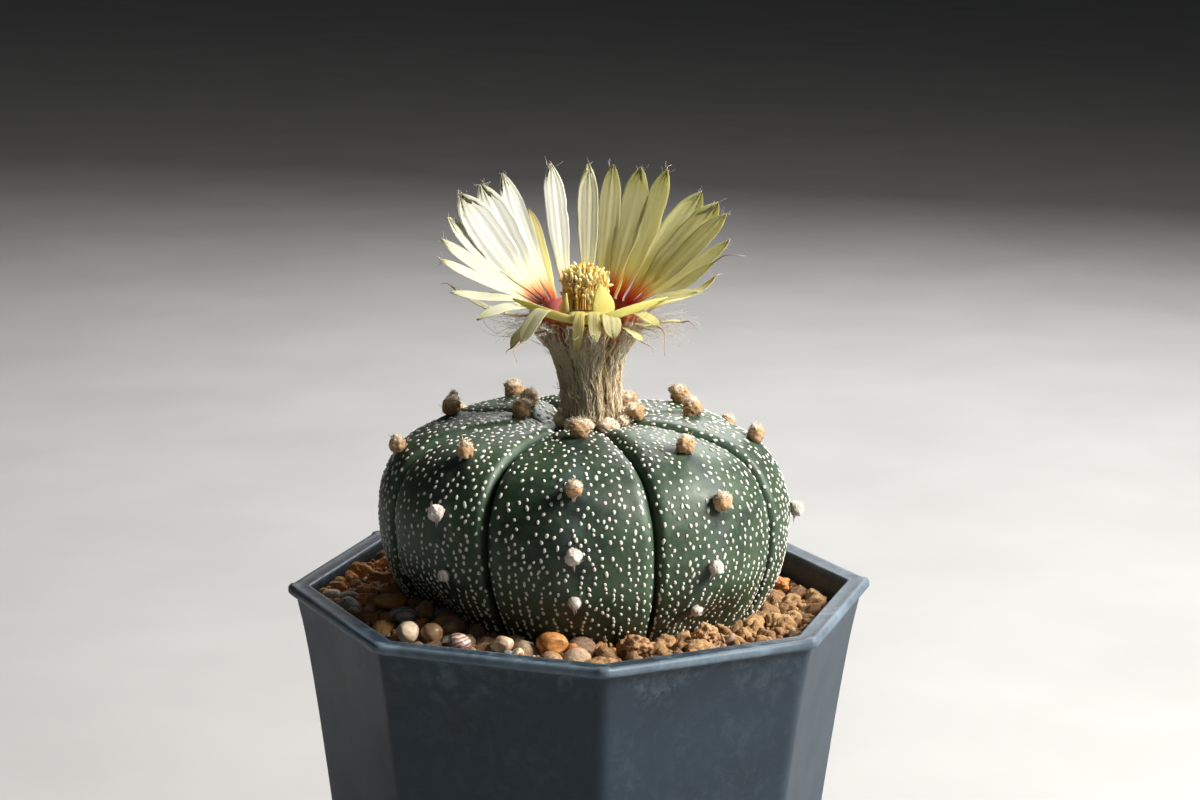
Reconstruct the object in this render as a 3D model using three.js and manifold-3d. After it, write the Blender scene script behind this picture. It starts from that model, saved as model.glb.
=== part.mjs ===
// Star cactus (flattened globe with eight ribs) in flower, in an eight-sided plastic pot.
// Millimetres, +Z up. Origin: centre of the pot's foot, on the surface the pot stands on.

import * as THREE from 'three';
import { mergeVertices } from 'three/addons/utils/BufferGeometryUtils.js';
import Module from 'manifold-3d';

const wasm = await Module();
wasm.setup();

// ---------------------------------------------------------------- driving dimensions

const potHeight = 92;           // foot to rim
const potAcrossCorners = 108.2; // outer lip, corner to corner, before the corners are rounded
const potWall = 2.0;            // wall thickness, measured across a flat side
const potEdge = 0.5;            // small rounding of the rim's and the foot's edges
const potTaper = 0.125;         // how far a wall corner moves in for each millimetre down
const rimWidth = 3.9;           // flat top band of the rim, measured across a flat side
const lipDepth = 1.8;           // height of the lip's outer edge
const lipOverhang = 1.2;        // how far the lip stands out past the wall, at a corner
const wallFlare = 1.5;          // extra width of the wall just under the lip
const wallFlareReach = 10;      // depth over which that flare dies away
const cornerRadius = 3.5;       // rounding of the eight outer corners
const innerCornerRadius = 2.5;  // rounding of the eight inner corners
const potTurn = 4.68;           // degrees that the corners are turned from +X
const floorThickness = 2.5;
const footHeight = 2.0;         // recess under the floor
const footWidth = 4.0;          // ring that the pot stands on
const drainRadius = 6.0;

const plantX = 0.4;             // plant's axis at the equator, from the pot's axis
const plantY = 0.0;
const plantLean = -0.03;        // sideways drift of the plant's axis, per millimetre up
const equatorAboveRim = 13.0;   // height of the body's widest place above the rim
const bodyRadius = 37.7;        // over the ribs, at the equator
const crownHeight = 18.6;       // top of the ribs above the equator
const rootLength = 34;          // taproot below the body's foot
const rootRadius = 7;
const rootTip = 1.5;            // blunt point below the taproot's last ring
const ribGrooves = [-118, -69, -22, 23, 68, 113, 157, 200]; // degrees from +X, unevenly grown
const grooveDepth = 3.6;
const tuftRadius = 2.0;         // wool tuft on each areole
const crownMargin = 2.59;       // flat ring of the crown round the foot of the floral tube

const mixBelowRim = 12.0;       // top of the potting mix
const dressingFront = 1.2;      // top dressing below the rim, at the front, left, back and right
const dressingLeft = 0.8;
const dressingBack = 3.5;
const dressingRight = 4.2;
const dressingSink = 1.2;       // its mean surface below those levels, which are the grains' tops
const dressingBump = 0.5;       // roughness of the dressing's top
const stoneBedReach = 5;        // how far past a stone the dressing dips to bed it

const tubeHeight = 21.6;        // floral tube, from the crown to the cup's rim
const tubeRadius = 4.95;        // at its foot
const tubeX = 1.8;              // the flower grows beside the plant's axis
const tubeLean = -0.07;         // sideways drift of the tube, per millimetre up
const cupRadius = 9.8;          // at its rim
const cupTilt = 4;              // degrees that the cup's rim dips to the front
const cupDepth = 9;             // hollow of the cup
const brushHeight = 8.2;        // stamens above the cup's rim
const brushRadius = 4.1;
const tepalThickness = 0.55;
const tepalFootWidth = 1.2;

const clearance = 0.35;         // gap between pieces that touch in the real plant

// ---------------------------------------------------------------- shared helpers

const radians = THREE.MathUtils.degToRad;
const cornerShare = Math.cos(Math.PI / 8);       // flat side radius / corner radius
const rimZ = potHeight;
const equatorZ = rimZ + equatorAboveRim;
const baseDepth = equatorAboveRim + mixBelowRim;  // the body's foot is buried to the mix's top
const crownFloorRadius = tubeRadius + crownMargin; // the floral tube grows from this flat place
const root = new THREE.Group();

function pseudoRandom(seed) {
  const s = Math.sin(seed * 127.1 + 311.7) * 43758.5453;
  return s - Math.floor(s);
}

// A closed skin over rings of points, all the same length, each counter-clockwise from above.
// Without poles the last ring joins the first one, as a tyre does.
function skin(rings, bottomPole, topPole) {
  const count = rings[0].length;
  const positions = [];
  const index = [];
  for (const ring of rings) for (const p of ring) positions.push(p.x, p.y, p.z);
  const at = (i, j) => (i % rings.length) * count + (j % count);
  const steps = bottomPole ? rings.length - 1 : rings.length;
  for (let i = 0; i < steps; i++) {
    for (let j = 0; j < count; j++) {
      index.push(at(i, j), at(i, j + 1), at(i + 1, j + 1));
      index.push(at(i, j), at(i + 1, j + 1), at(i + 1, j));
    }
  }
  if (bottomPole) {
    const bottom = positions.length / 3;
    positions.push(bottomPole.x, bottomPole.y, bottomPole.z);
    positions.push(topPole.x, topPole.y, topPole.z);
    for (let j = 0; j < count; j++) {
      index.push(bottom, at(0, j + 1), at(0, j));
      index.push(bottom + 1, at(rings.length - 1, j), at(rings.length - 1, j + 1));
    }
  }
  const geometry = new THREE.BufferGeometry();
  geometry.setAttribute('position', new THREE.Float32BufferAttribute(positions, 3));
  geometry.setIndex(index);
  return geometry;
}

function addPiece(name, geometry, material, parent = root) {
  const mesh = new THREE.Mesh(geometry, material);
  mesh.name = name;
  parent.add(mesh);
  return mesh;
}

function toSolid(geometry) {
  const bare = geometry.clone();
  bare.deleteAttribute('normal');
  bare.deleteAttribute('uv');
  const merged = mergeVertices(bare, 1e-4);
  return new wasm.Manifold(new wasm.Mesh({
    numProp: 3,
    vertProperties: new Float32Array(merged.attributes.position.array),
    triVerts: new Uint32Array(merged.index.array),
  }));
}

function fromSolid(solid) {
  const mesh = solid.getMesh();
  const geometry = new THREE.BufferGeometry();
  const positions = new Float32Array(mesh.vertProperties);
  geometry.setAttribute('position', new THREE.BufferAttribute(positions, 3));
  geometry.setIndex(new THREE.BufferAttribute(new Uint32Array(mesh.triVerts), 1));
  return geometry;
}

// ---------------------------------------------------------------- materials

function material(color, roughness) {
  return new THREE.MeshStandardMaterial({ color, roughness, metalness: 0 });
}

const potPlastic = material(0x4a5d6b, 0.5);
const soil = material(0x4b3524, 0.95);
const clayGrains = material(0xb07c4c, 0.9);
const skinGreen = material(0x3d5140, 0.5);
const wool = material(0xc9b494, 0.95);
const paleYellow = material(0xe4e3b0, 0.6);
const greenYellow = material(0xb9c06a, 0.6);
const anthers = material(0xeebb3c, 0.8);
const stigmaYellow = material(0xf2dc8a, 0.7);

// ---------------------------------------------------------------- pot

// One point of an eight-sided ring whose sharp corners would lie at the given radius.
function octagonPoint(cornerR, rounding, side, place) {
  const flat = cornerR * cornerShare;
  const arcCentre = (flat - rounding) / cornerShare;
  const arcEdge = Math.atan2(rounding * Math.sin(Math.PI / 8), arcCentre + rounding * cornerShare);
  const offset = place === 0 ? -Math.PI / 8 : arcEdge * (place - 2);
  const reach = place === 0 ? flat
    : arcCentre * Math.cos(offset) + Math.sqrt(rounding ** 2 - (arcCentre * Math.sin(offset)) ** 2);
  const angle = radians(potTurn) + side * Math.PI / 4 + offset;
  return { angle, reach };
}

const ringPlaces = 4;           // one in the middle of a flat side, three round a corner
const ringCount = 8 * ringPlaces;

function octagonRing(cornerR, rounding, z) {
  const ring = [];
  for (let side = 0; side < 8; side++) {
    for (let place = 0; place < ringPlaces; place++) {
      const p = octagonPoint(cornerR, rounding, side, place);
      ring.push(new THREE.Vector3(p.reach * Math.cos(p.angle), p.reach * Math.sin(p.angle), z));
    }
  }
  return ring;
}

// A round ring whose points lie at the same angles as an eight-sided ring's.
function roundRing(radius, z, x = 0, y = 0) {
  const ring = [];
  for (let j = 0; j < ringCount; j++) {
    const angle = radians(potTurn) - Math.PI / 8 + j * 2 * Math.PI / ringCount;
    ring.push(new THREE.Vector3(x + radius * Math.cos(angle), y + radius * Math.sin(angle), z));
  }
  return ring;
}

const lipR = potAcrossCorners / 2;
const flareAtLip = wallFlare * Math.exp(-lipDepth / wallFlareReach);
const wallStartR = lipR - lipOverhang - flareAtLip + potTaper * lipDepth;
const rimInnerR = lipR - rimWidth / cornerShare;

function outerWallR(z) {
  const depth = rimZ - z;
  return wallStartR - potTaper * depth + wallFlare * Math.exp(-depth / wallFlareReach);
}

function innerWallR(z) {
  const straight = wallStartR - potTaper * (rimZ - z) - potWall / cornerShare;
  return Math.min(rimInnerR, straight);
}

function potGeometry() {
  const rings = [];
  const footR = outerWallR(0);
  rings.push(octagonRing(footR - potEdge, cornerRadius, 0));
  rings.push(octagonRing(footR, cornerRadius, potEdge));
  for (const share of [0.35, 0.65, 0.8, 0.88, 0.94]) {
    const z = rimZ * share;
    rings.push(octagonRing(outerWallR(z), cornerRadius, z));
  }
  rings.push(octagonRing(outerWallR(rimZ - lipDepth), cornerRadius, rimZ - lipDepth - 0.4));
  rings.push(octagonRing(lipR, cornerRadius, rimZ - lipDepth + 0.1));
  rings.push(octagonRing(lipR, cornerRadius, rimZ - potEdge));
  rings.push(octagonRing(lipR - potEdge, cornerRadius - potEdge, rimZ));
  rings.push(octagonRing(rimInnerR + potEdge, innerCornerRadius + potEdge, rimZ));
  rings.push(octagonRing(rimInnerR, innerCornerRadius, rimZ - potEdge));
  const floorTop = footHeight + floorThickness;
  for (const share of [0.9, 0.6, 0.3]) {
    const z = floorTop + (rimZ - floorTop) * share;
    rings.push(octagonRing(innerWallR(z), innerCornerRadius, z));
  }
  rings.push(octagonRing(innerWallR(floorTop + 2), innerCornerRadius, floorTop + 2));
  rings.push(octagonRing(innerWallR(floorTop) - 2, innerCornerRadius, floorTop));
  rings.push(roundRing(drainRadius, floorTop));
  rings.push(roundRing(drainRadius, footHeight));
  rings.push(octagonRing(footR - footWidth / cornerShare - 1, innerCornerRadius, footHeight));
  rings.push(octagonRing(footR - footWidth / cornerShare, innerCornerRadius, 0));
  return skin(rings);
}

// ---------------------------------------------------------------- cactus body

// Crest line of a rib, from the foot of the body to the crown: shares of the body's own radius,
// then of the crown's flat floor, and heights as shares of the depth below the equator or of
// the height above it.
const crestShares = [
  [0.26, -1.06], [0.48, -1.0], [0.66, -0.9], [0.8, -0.74], [0.885, -0.58], [0.945, -0.42],
  [0.98, -0.25], [0.998, -0.08], [1.0, 0.1], [0.985, 0.33], [0.94, 0.55], [0.86, 0.75],
  [0.74, 0.89], [0.58, 0.97], [0.4, 1.0],
];
const crownShares = [[1.5, 0.98], [1.2, 0.93], [1, 0.893], [0.25, 0.89]];

function crestCorner(radius, height) {
  return new THREE.Vector3(radius, 0, height * (height < 0 ? baseDepth : crownHeight));
}

const crest = new THREE.CatmullRomCurve3([
  ...crestShares.map(([share, height]) => crestCorner(share * bodyRadius, height)),
  ...crownShares.map(([share, height]) => crestCorner(share * crownFloorRadius, height)),
], false, 'centripetal');

function plantAxis(z) {
  const above = Math.max(z, rimZ - mixBelowRim) - equatorZ;
  return new THREE.Vector3(plantX + plantLean * above, plantY, z);
}

// Place across its rib of a direction from the plant's axis: 0 on the crest, 1 in the groove.
function acrossRib(azimuth) {
  const degrees = THREE.MathUtils.radToDeg(azimuth);
  for (let i = 0; i < ribGrooves.length; i++) {
    const start = ribGrooves[i];
    const width = (ribGrooves[(i + 1) % ribGrooves.length] - start + 720) % 360;
    const into = (degrees - start + 720) % 360;
    if (into <= width) return Math.abs(2 * into / width - 1);
  }
  return 1;
}

// The feet of two ribs draw in toward the soil: the azimuth, the depth and the half-angle of each hollow.
const footTucks = [[217, 4.4, 15], [309, 3.6, 15]];

function footTuck(azimuth, z, reach) {
  const low = 1 - THREE.MathUtils.smoothstep(z - equatorZ, -14, -5);
  let depth = 0;
  for (const [middle, most, spread] of footTucks) {
    const off = (THREE.MathUtils.radToDeg(azimuth) - middle + 900) % 360 - 180;
    depth += most * Math.exp(-((off / spread) ** 2));
  }
  return depth * low * reach / bodyRadius;
}

// A point of the ribbed skin: share runs from the foot (0) to the crown (1).
function bodyPoint(share, azimuth, lift = 0) {
  const p = crest.getPoint(share);
  const t = crest.getTangent(share);
  const fromCrest = acrossRib(azimuth);
  const grown = THREE.MathUtils.smoothstep(share, 0.06, 0.3);
  const young = 1 - 0.35 * THREE.MathUtils.smoothstep(share, 0.75, 1);
  const narrow = THREE.MathUtils.clamp((p.x - 5.5) / (0.35 * bodyRadius), 0, 1);
  const crease = Math.exp(-(((1 - fromCrest) / 0.09) ** 2));
  const depth = grooveDepth * grown * young * narrow * (0.45 * fromCrest ** 2 + 0.55 * crease);
  const z = equatorZ + p.z - t.x * (lift - depth);
  const radius = p.x + t.z * (lift - depth) - footTuck(azimuth, z, p.x);
  const axis = plantAxis(z);
  const x = axis.x + radius * Math.cos(azimuth);
  const y = axis.y + radius * Math.sin(azimuth);
  return new THREE.Vector3(x, y, z);
}

const footZ = equatorZ + crest.getPoint(0).z;
const rootTipZ = footZ - rootLength - rootTip;

// Radius of the taproot, at a share of its length below the body's foot.
function rootRadiusAt(share) {
  return rootRadius * (1 - 0.75 * share ** 1.5);
}

// Radius of the smooth shape that the body never reaches past, for what lies against it.
function bodyReach(z) {
  let reach = rootRadius;
  for (let i = 0; i < 200; i++) {
    const a = crest.getPoint(i / 200);
    const b = crest.getPoint((i + 1) / 200);
    const low = Math.min(a.z, b.z) + equatorZ;
    const high = Math.max(a.z, b.z) + equatorZ;
    if (z >= low - 0.01 && z <= high + 0.01) reach = Math.max(reach, a.x, b.x);
  }
  return reach;
}

const ribSteps = [0, 0.06, 0.275, 0.5, 0.725, 0.94];     // round one rib, from groove to groove

function ribAngle(rib, step) {
  const start = ribGrooves[rib];
  const width = (ribGrooves[(rib + 1) % ribGrooves.length] - start + 720) % 360;
  return radians(start + width * step);
}

function bodyAngles() {
  return ribGrooves.flatMap((groove, rib) => ribSteps.map((step) => ribAngle(rib, step)));
}

// Where the areoles of each rib sit: the share of the crest line, and the degrees off the rib's middle.
// Neighbouring ribs are about half a step apart, and the crests lean toward the front near the soil.
const areoles = [
  [[0.34, 1], [0.45, 1], [0.585, 2], [0.75, 2]],
  [[0.3, -11], [0.4, -8], [0.54, -4], [0.67, -4]],
  [[0.38, -9], [0.5, -7], [0.63, -6], [0.735, 7], [0.85, -5]],
  [[0.33, -4], [0.44, -4], [0.57, -5], [0.71, -7], [0.83, -5]],
  [[0.37, 1], [0.5, 0], [0.65, 0], [0.84, 2]],
  [[0.31, -1], [0.43, -2], [0.58, -3], [0.72, -9], [0.81, 7]],
  [[0.34, 9], [0.46, 9], [0.6, 14], [0.7, -8], [0.83, 7]],
  [[0.26, 12], [0.37, 10], [0.51, 7], [0.645, 7]],
];

function tuftGeometry(share, azimuth) {
  const size = tuftRadius * (0.75 + 0.35 * share);
  const centre = bodyPoint(share, azimuth, size * 0.35);
  const outward = bodyPoint(share, azimuth, size * 1.35).sub(centre).normalize();
  const geometry = new THREE.SphereGeometry(size, 7, 5);
  geometry.scale(1, 0.95, 0.85);
  const up = new THREE.Vector3(0, 0, 1);
  geometry.applyQuaternion(new THREE.Quaternion().setFromUnitVectors(up, outward));
  geometry.translate(centre.x, centre.y, centre.z);
  return geometry;
}

function cactusBodyGeometry() {
  const angles = bodyAngles();
  const rings = [];
  const rootRows = 4;
  for (let row = 0; row < rootRows; row++) {
    const down = 1 - row / rootRows;
    const z = footZ - rootLength * down;
    const radius = rootRadiusAt(down);
    const axis = plantAxis(z);
    rings.push(angles.map((a) => new THREE.Vector3(
      axis.x + radius * Math.cos(a), axis.y + radius * Math.sin(a), z,
    )));
  }
  const rows = 16;
  for (let row = 0; row <= rows; row++) {
    rings.push(angles.map((a) => bodyPoint(0.985 * row / rows, a)));
  }
  const top = crest.getPoint(1).z + equatorZ;
  let solid = toSolid(skin(rings, plantAxis(rootTipZ), plantAxis(top)));
  areoles.forEach((row, rib) => {
    for (const [share, turn] of row) {
      solid = solid.add(toSolid(tuftGeometry(share, ribAngle(rib, 0.5) + radians(turn))));
    }
  });
  return fromSolid(solid);
}

// ---------------------------------------------------------------- potting mix

const mixTop = rimZ - mixBelowRim;

function pottingMixGeometry() {
  const rings = [];
  const bottom = footHeight + floorThickness + clearance;
  rings.push(octagonRing(innerWallR(bottom) - 2.6 - clearance, innerCornerRadius, bottom));
  rings.push(octagonRing(innerWallR(bottom + 2) - 0.1 - clearance, innerCornerRadius, bottom + 2));
  rings.push(octagonRing(innerWallR(mixTop) - clearance, innerCornerRadius, mixTop));
  const gap = 3 * clearance;
  const drop = mixTop - footZ;
  for (const share of [1, 0.66, 0.33, 0]) {
    const z = footZ + drop * share;
    const axis = plantAxis(z);
    rings.push(roundRing(bodyReach(z) + gap, z, axis.x, axis.y));
  }
  for (const share of [0.3, 0.65, 0.95]) {
    const z = footZ - rootLength * share;
    const axis = plantAxis(z);
    rings.push(roundRing(rootRadiusAt(share) + gap, z, axis.x, axis.y));
  }
  return skin(rings, new THREE.Vector3(0, 0, bottom), plantAxis(rootTipZ - gap));
}

// ---------------------------------------------------------------- stones and top dressing

// Larger pebbles on the dressing: angle round the plant's axis, how far out they lie as a share
// of the way from the body to the pot's wall, three half-sizes and a turn about +Z.
const stones = [
  { name: 'pebble_ochre', angle: 202, across: 0, half: [3.0, 2.0, 1.7], turn: 5 },
  { name: 'pebble_banded_grey', angle: 215.5, across: 0.5, half: [2.8, 1.9, 1.6], turn: -8 },
  { name: 'pebble_cream', angle: 228, across: 0.9, half: [2.3, 1.9, 2.1], turn: 40 },
  { name: 'pebble_brown', angle: 218.6, across: 0, half: [1.4, 1.9, 2.6], turn: 10 },
  { name: 'pebble_red_brown', angle: 232, across: 0.62, half: [2.0, 1.8, 1.9], turn: -20 },
  { name: 'pebble_dark', angle: 232, across: 0, half: [2.4, 1.9, 2.0], turn: 25 },
  { name: 'pebble_red_white', angle: 240.5, across: 0.9, half: [2.2, 1.6, 1.6], turn: 5 },
  { name: 'pebble_tan', angle: 250, across: 0.6, half: [2.1, 1.7, 1.6], turn: -12 },
  { name: 'pebble_big_ochre', angle: 262, across: 0.1, half: [2.8, 2.1, 2.2], turn: 12 },
  { name: 'clump_front', angle: 283.5, across: 0.1, half: [3.0, 2.2, 2.0], turn: -5 },
  { name: 'clump_right', angle: 308, across: 0, half: [2.3, 2.0, 2.0], turn: 30 },
  { name: 'clump_orange', angle: 18, across: 0.44, half: [2.0, 1.8, 1.6], turn: 60 },
];

function dressingLevel(angle) {
  const c = Math.cos(angle);
  const s = Math.sin(angle);
  const side = c > 0 ? dressingRight : dressingLeft;
  const end = s > 0 ? dressingBack : dressingFront;
  return rimZ - (side * c * c + end * s * s);
}

// A point of the ground at one ring place, between the body (0) and the pot's wall (1).
function groundPoint(place, z, share) {
  const wall = octagonRing(innerWallR(z) - clearance, innerCornerRadius, z)[place];
  const angle = Math.atan2(wall.y, wall.x);
  const body = plantAxis(z);
  const reach = bodyReach(z) - footTuck(angle, z, bodyReach(z)) + 2 * clearance;
  body.x += reach * Math.cos(angle);
  body.y += reach * Math.sin(angle);
  return body.lerp(wall, share);
}

for (const stone of stones) {
  const angle = radians(stone.angle);
  const size = Math.max(stone.half[0], stone.half[1]);
  const z = dressingLevel(angle) + stone.half[2] * 0.5;
  const axis = plantAxis(z);
  const offFlat = (radians(stone.angle - potTurn) + 2 * Math.PI) % (Math.PI / 4) - Math.PI / 8;
  const wall = innerWallR(z) * cornerShare / Math.cos(offFlat) - axis.x * Math.cos(angle);
  const top = z + stone.half[2];
  const from = bodyReach(top) - footTuck(angle, top, bodyReach(top)) + size + 2 * clearance;
  const to = wall - size - 2 * clearance;
  const radius = from + (to - from) * stone.across;
  stone.centre = new THREE.Vector3(radius * Math.cos(angle), radius * Math.sin(angle), 0).add(axis);
}

function pebbleGeometry(stone, seed) {
  const geometry = mergeVertices(bareSphere(8, 5));
  const position = geometry.attributes.position;
  for (let i = 0; i < position.count; i++) {
    const swell = 0.93 + 0.07 * pseudoRandom(seed * 17 + i);
    const [x, y, z] = stone.half;
    position.setXYZ(i, position.getX(i) * x * swell, position.getY(i) * y * swell,
      position.getZ(i) * z * swell);
  }
  return geometry;
}

function bareSphere(around, down) {
  const geometry = new THREE.SphereGeometry(1, around, down);
  geometry.deleteAttribute('normal');
  geometry.deleteAttribute('uv');
  return geometry;
}

function dressingGeometry() {
  const rows = 6;
  const bottom = mixTop + clearance;
  const places = [...Array(ringCount).keys()];
  const topPoint = (place, share, seed) => {
    const first = groundPoint(place, rimZ - dressingFront, share);
    const level = dressingLevel(Math.atan2(first.y, first.x));
    let z = level - dressingSink + dressingBump * (2 * pseudoRandom(seed) - 1);
    const p = groundPoint(place, z, share);
    for (const stone of stones) {
      const reach = Math.max(stone.half[0], stone.half[1]) + stoneBedReach;
      const apart = Math.hypot(p.x - stone.centre.x, p.y - stone.centre.y);
      if (apart < reach) z = Math.min(z, stone.centre.z - stone.half[2] - clearance);
    }
    return groundPoint(place, z, share);
  };
  const rings = [places.map((place) => groundPoint(place, bottom, 1))];
  for (let row = 0; row <= rows; row++) {
    rings.push(places.map((place) => topPoint(place, 1 - row / rows, row * 97 + place)));
  }
  for (const share of [0.75, 0.5, 0.25, 0]) {
    rings.push(places.map((place) => {
      const top = topPoint(place, 0, rows * 97 + place).z;
      return groundPoint(place, bottom + (top - bottom) * share, 0);
    }));
  }
  return skin(rings);
}

// ---------------------------------------------------------------- flower

const crownZ = equatorZ + crest.getPoint(1).z;
const tubeFoot = new THREE.Vector3(tubeX, plantY, crownZ + clearance);
const cupCentre = new THREE.Vector3(tubeX + tubeLean * tubeHeight, plantY, tubeFoot.z + tubeHeight);

function cupDip(x, y) {
  return Math.tan(radians(cupTilt)) * (y - cupCentre.y);
}

function floralTubeGeometry() {
  const around = 16;
  const ring = (radius, z, tilted) => {
    const points = [];
    for (let j = 0; j < around; j++) {
      const angle = j * 2 * Math.PI / around;
      const x = tubeFoot.x + tubeLean * (z - tubeFoot.z) + radius * Math.cos(angle);
      const y = tubeFoot.y + radius * Math.sin(angle);
      points.push(new THREE.Vector3(x, y, z + tilted * cupDip(x, y)));
    }
    return points;
  };
  const rings = [];
  const flare = [
    [0, 0.92], [0.25, 0.93], [0.43, 0.98], [0.58, 1.12], [0.68, 1.36], [0.76, 1.66], [0.84, 1.85],
  ];
  for (const [share, width] of flare) {
    rings.push(ring(tubeRadius * width, tubeFoot.z + tubeHeight * share, share));
  }
  rings.push(ring(cupRadius - 0.3, cupCentre.z, 1));
  rings.push(ring(cupRadius - 1.5, cupCentre.z, 1));
  rings.push(ring(cupRadius * 0.62, cupCentre.z - cupDepth * 0.45, 0.7));
  rings.push(ring(cupRadius * 0.42, cupCentre.z - cupDepth, 0.3));
  const floor = new THREE.Vector3(cupCentre.x, cupCentre.y, cupCentre.z - cupDepth);
  return skin(rings, tubeFoot, floor);
}

// The stamens stand as one dense brush round the style.
function stamenGeometry() {
  const around = 14;
  const rings = [];
  const lowZ = cupCentre.z - cupDepth + clearance;
  const tall = cupDepth + brushHeight;
  const outline = [
    [0.36, 0, 0], [0.66, 0, 0], [0.7, 0.45, 0], [1, 0.76, 1], [1.04, 0.88, 1], [0.86, 0.98, 1],
    [0.48, 0.96, 1], [0.4, 0.8, 0],
  ];
  for (const [width, share, rough] of outline) {
    const points = [];
    for (let j = 0; j < around; j++) {
      const angle = j * 2 * Math.PI / around;
      const wave = rough * 0.5 * (j % 2);
      const r = width * brushRadius - wave * 0.5;
      const y = r * Math.sin(angle);
      points.push(new THREE.Vector3(cupCentre.x + r * Math.cos(angle), cupCentre.y + y,
        lowZ + tall * share - wave));
    }
    rings.push(points);
  }
  return skin(rings);
}

function styleGeometry() {
  const foot = cupCentre.z - cupDepth + clearance;
  const tall = cupDepth + brushHeight - 0.2;
  const profile = [[0, 0], [0.8, 0], [0.7, 0.5], [0.75, 0.85], [1.1, 0.95], [1.0, 1], [0, 1]];
  const points = profile.map(([r, share]) => new THREE.Vector2(r, tall * share));
  const geometry = new THREE.LatheGeometry(points, 10);
  geometry.rotateX(Math.PI / 2);
  geometry.translate(cupCentre.x, cupCentre.y, foot);
  return geometry;
}

// Tepals: angle round the cup in degrees (90 is the back), reach of the tip from the cup's axis,
// rise of the tip above the cup's rim, half-width, and the slope in degrees that the foot starts at.
const innerTepals = [
  [89, 17.5, 24.2, 1.6, 62], [112, 18.8, 24.2, 1.9, 60], [134, 23, 22.4, 2.0, 50],
  [147, 24, 20.6, 1.6, 44], [157.5, 25.2, 19.4, 1.6, 42], [167, 26.2, 15.6, 1.5, 36],
  [176, 26.4, 12.3, 1.3, 28], [185, 26.6, 9.1, 1.3, 22], [195, 24.9, 3.9, 1.5, 22],
  [209, 22, -0.4, 1.5, 26], [231, 18, -4.0, 1.6, 28], [74, 18.2, 24.2, 1.6, 62],
  [59, 19, 24, 1.9, 58], [45, 21, 23.7, 1.8, 54], [32, 25, 19.8, 1.7, 46],
  [22.5, 25.4, 18.8, 1.5, 40], [13, 26.2, 16.8, 1.5, 36], [3.5, 26, 12.6, 1.4, 30],
  [-6, 23.4, 8.4, 1.4, 24], [-18, 21.2, 4.0, 1.6, 18], [-38, 17, -0.8, 1.5, 20],
  [-66, 12.4, -3.4, 1.3, 40], [-82, 12.2, -4.2, 0.9, 36], [-95, 12.3, -5.9, 0.85, 34],
];
const outerTepals = [
  [122, 21.5, 15.6, 1.5, 44], [179, 24.4, 3.4, 1.2, 4], [218, 17, -5.4, 1.2, 4],
  [66, 19.5, 15, 1.4, 46], [8, 23.5, 6, 1.3, 12], [-30, 20, -0.6, 1.3, 4],
  [-50, 15.5, -3.8, 1.1, 4],
];

const tepalSection = [[1, 0], [0.4, 1], [-0.4, 1], [-1, 0], [-0.4, -1], [0.4, -1]];

function tepalGeometry([angle, reach, rise, half, slope], footR, drop) {
  const a = radians(angle);
  const outward = new THREE.Vector3(Math.cos(a), Math.sin(a), 0);
  const across = new THREE.Vector3(-Math.sin(a), Math.cos(a), 0);
  const foot = new THREE.Vector3(cupCentre.x, cupCentre.y, 0).addScaledVector(outward, footR);
  foot.z = cupCentre.z + cupDip(foot.x, foot.y) + drop;
  const tip = new THREE.Vector3(cupCentre.x, cupCentre.y, cupCentre.z + rise);
  tip.addScaledVector(outward, reach);
  const pull = 0.45 * foot.distanceTo(tip);
  const bend = foot.clone().addScaledVector(outward, pull * Math.cos(radians(slope)));
  bend.z += pull * Math.sin(radians(slope));
  const spine = new THREE.QuadraticBezierCurve3(foot, bend, tip);
  const steps = 6;
  const sections = [];
  for (let i = 0; i <= steps; i++) {
    const share = i / steps;
    const ahead = spine.getTangent(share);
    const face = new THREE.Vector3().crossVectors(ahead, across).normalize();
    const narrow = share < 0.8 ? 1 : 1 - 0.75 * ((share - 0.8) / 0.2) ** 2;
    const width = narrow * THREE.MathUtils.lerp(tepalFootWidth / 2, half, Math.sin(share * Math.PI / 1.5));
    sections.push(tepalSection.map(([u, v]) => spine.getPoint(share)
      .addScaledVector(across, u * width)
      .addScaledVector(face, v * tepalThickness / 2 - 0.2 * width * u * u)));
  }
  return skin(sections, foot, tip);
}

// ---------------------------------------------------------------- the whole plant

addPiece('pot', potGeometry(), potPlastic);
addPiece('potting_mix', pottingMixGeometry(), soil);
addPiece('top_dressing', dressingGeometry(), clayGrains);
addPiece('cactus_body', cactusBodyGeometry(), skinGreen);
addPiece('floral_tube', floralTubeGeometry(), wool);
addPiece('stamens', stamenGeometry(), anthers);
addPiece('style', styleGeometry(), stigmaYellow);

stones.forEach((stone, i) => {
  const mesh = addPiece(stone.name, pebbleGeometry(stone, i), clayGrains);
  mesh.position.copy(stone.centre);
  mesh.rotation.z = radians(stone.turn);
});

innerTepals.forEach((tepal, i) => {
  const name = `tepal_inner_${String(i + 1).padStart(2, '0')}`;
  addPiece(name, tepalGeometry(tepal, cupRadius - 0.9, 2 * clearance), paleYellow);
});

outerTepals.forEach((tepal, i) => {
  const name = `tepal_outer_${String(i + 1).padStart(2, '0')}`;
  addPiece(name, tepalGeometry(tepal, cupRadius + 2 * clearance, -1.4), greenYellow);
});

export default root;
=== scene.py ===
"""Looks of a potted star cactus in flower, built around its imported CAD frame.

Lengths are in millimetres until a mesh is made; Blender and the frame are in metres.
"""

import math

import bpy
import numpy as np
from mathutils import Matrix, Vector


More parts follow.
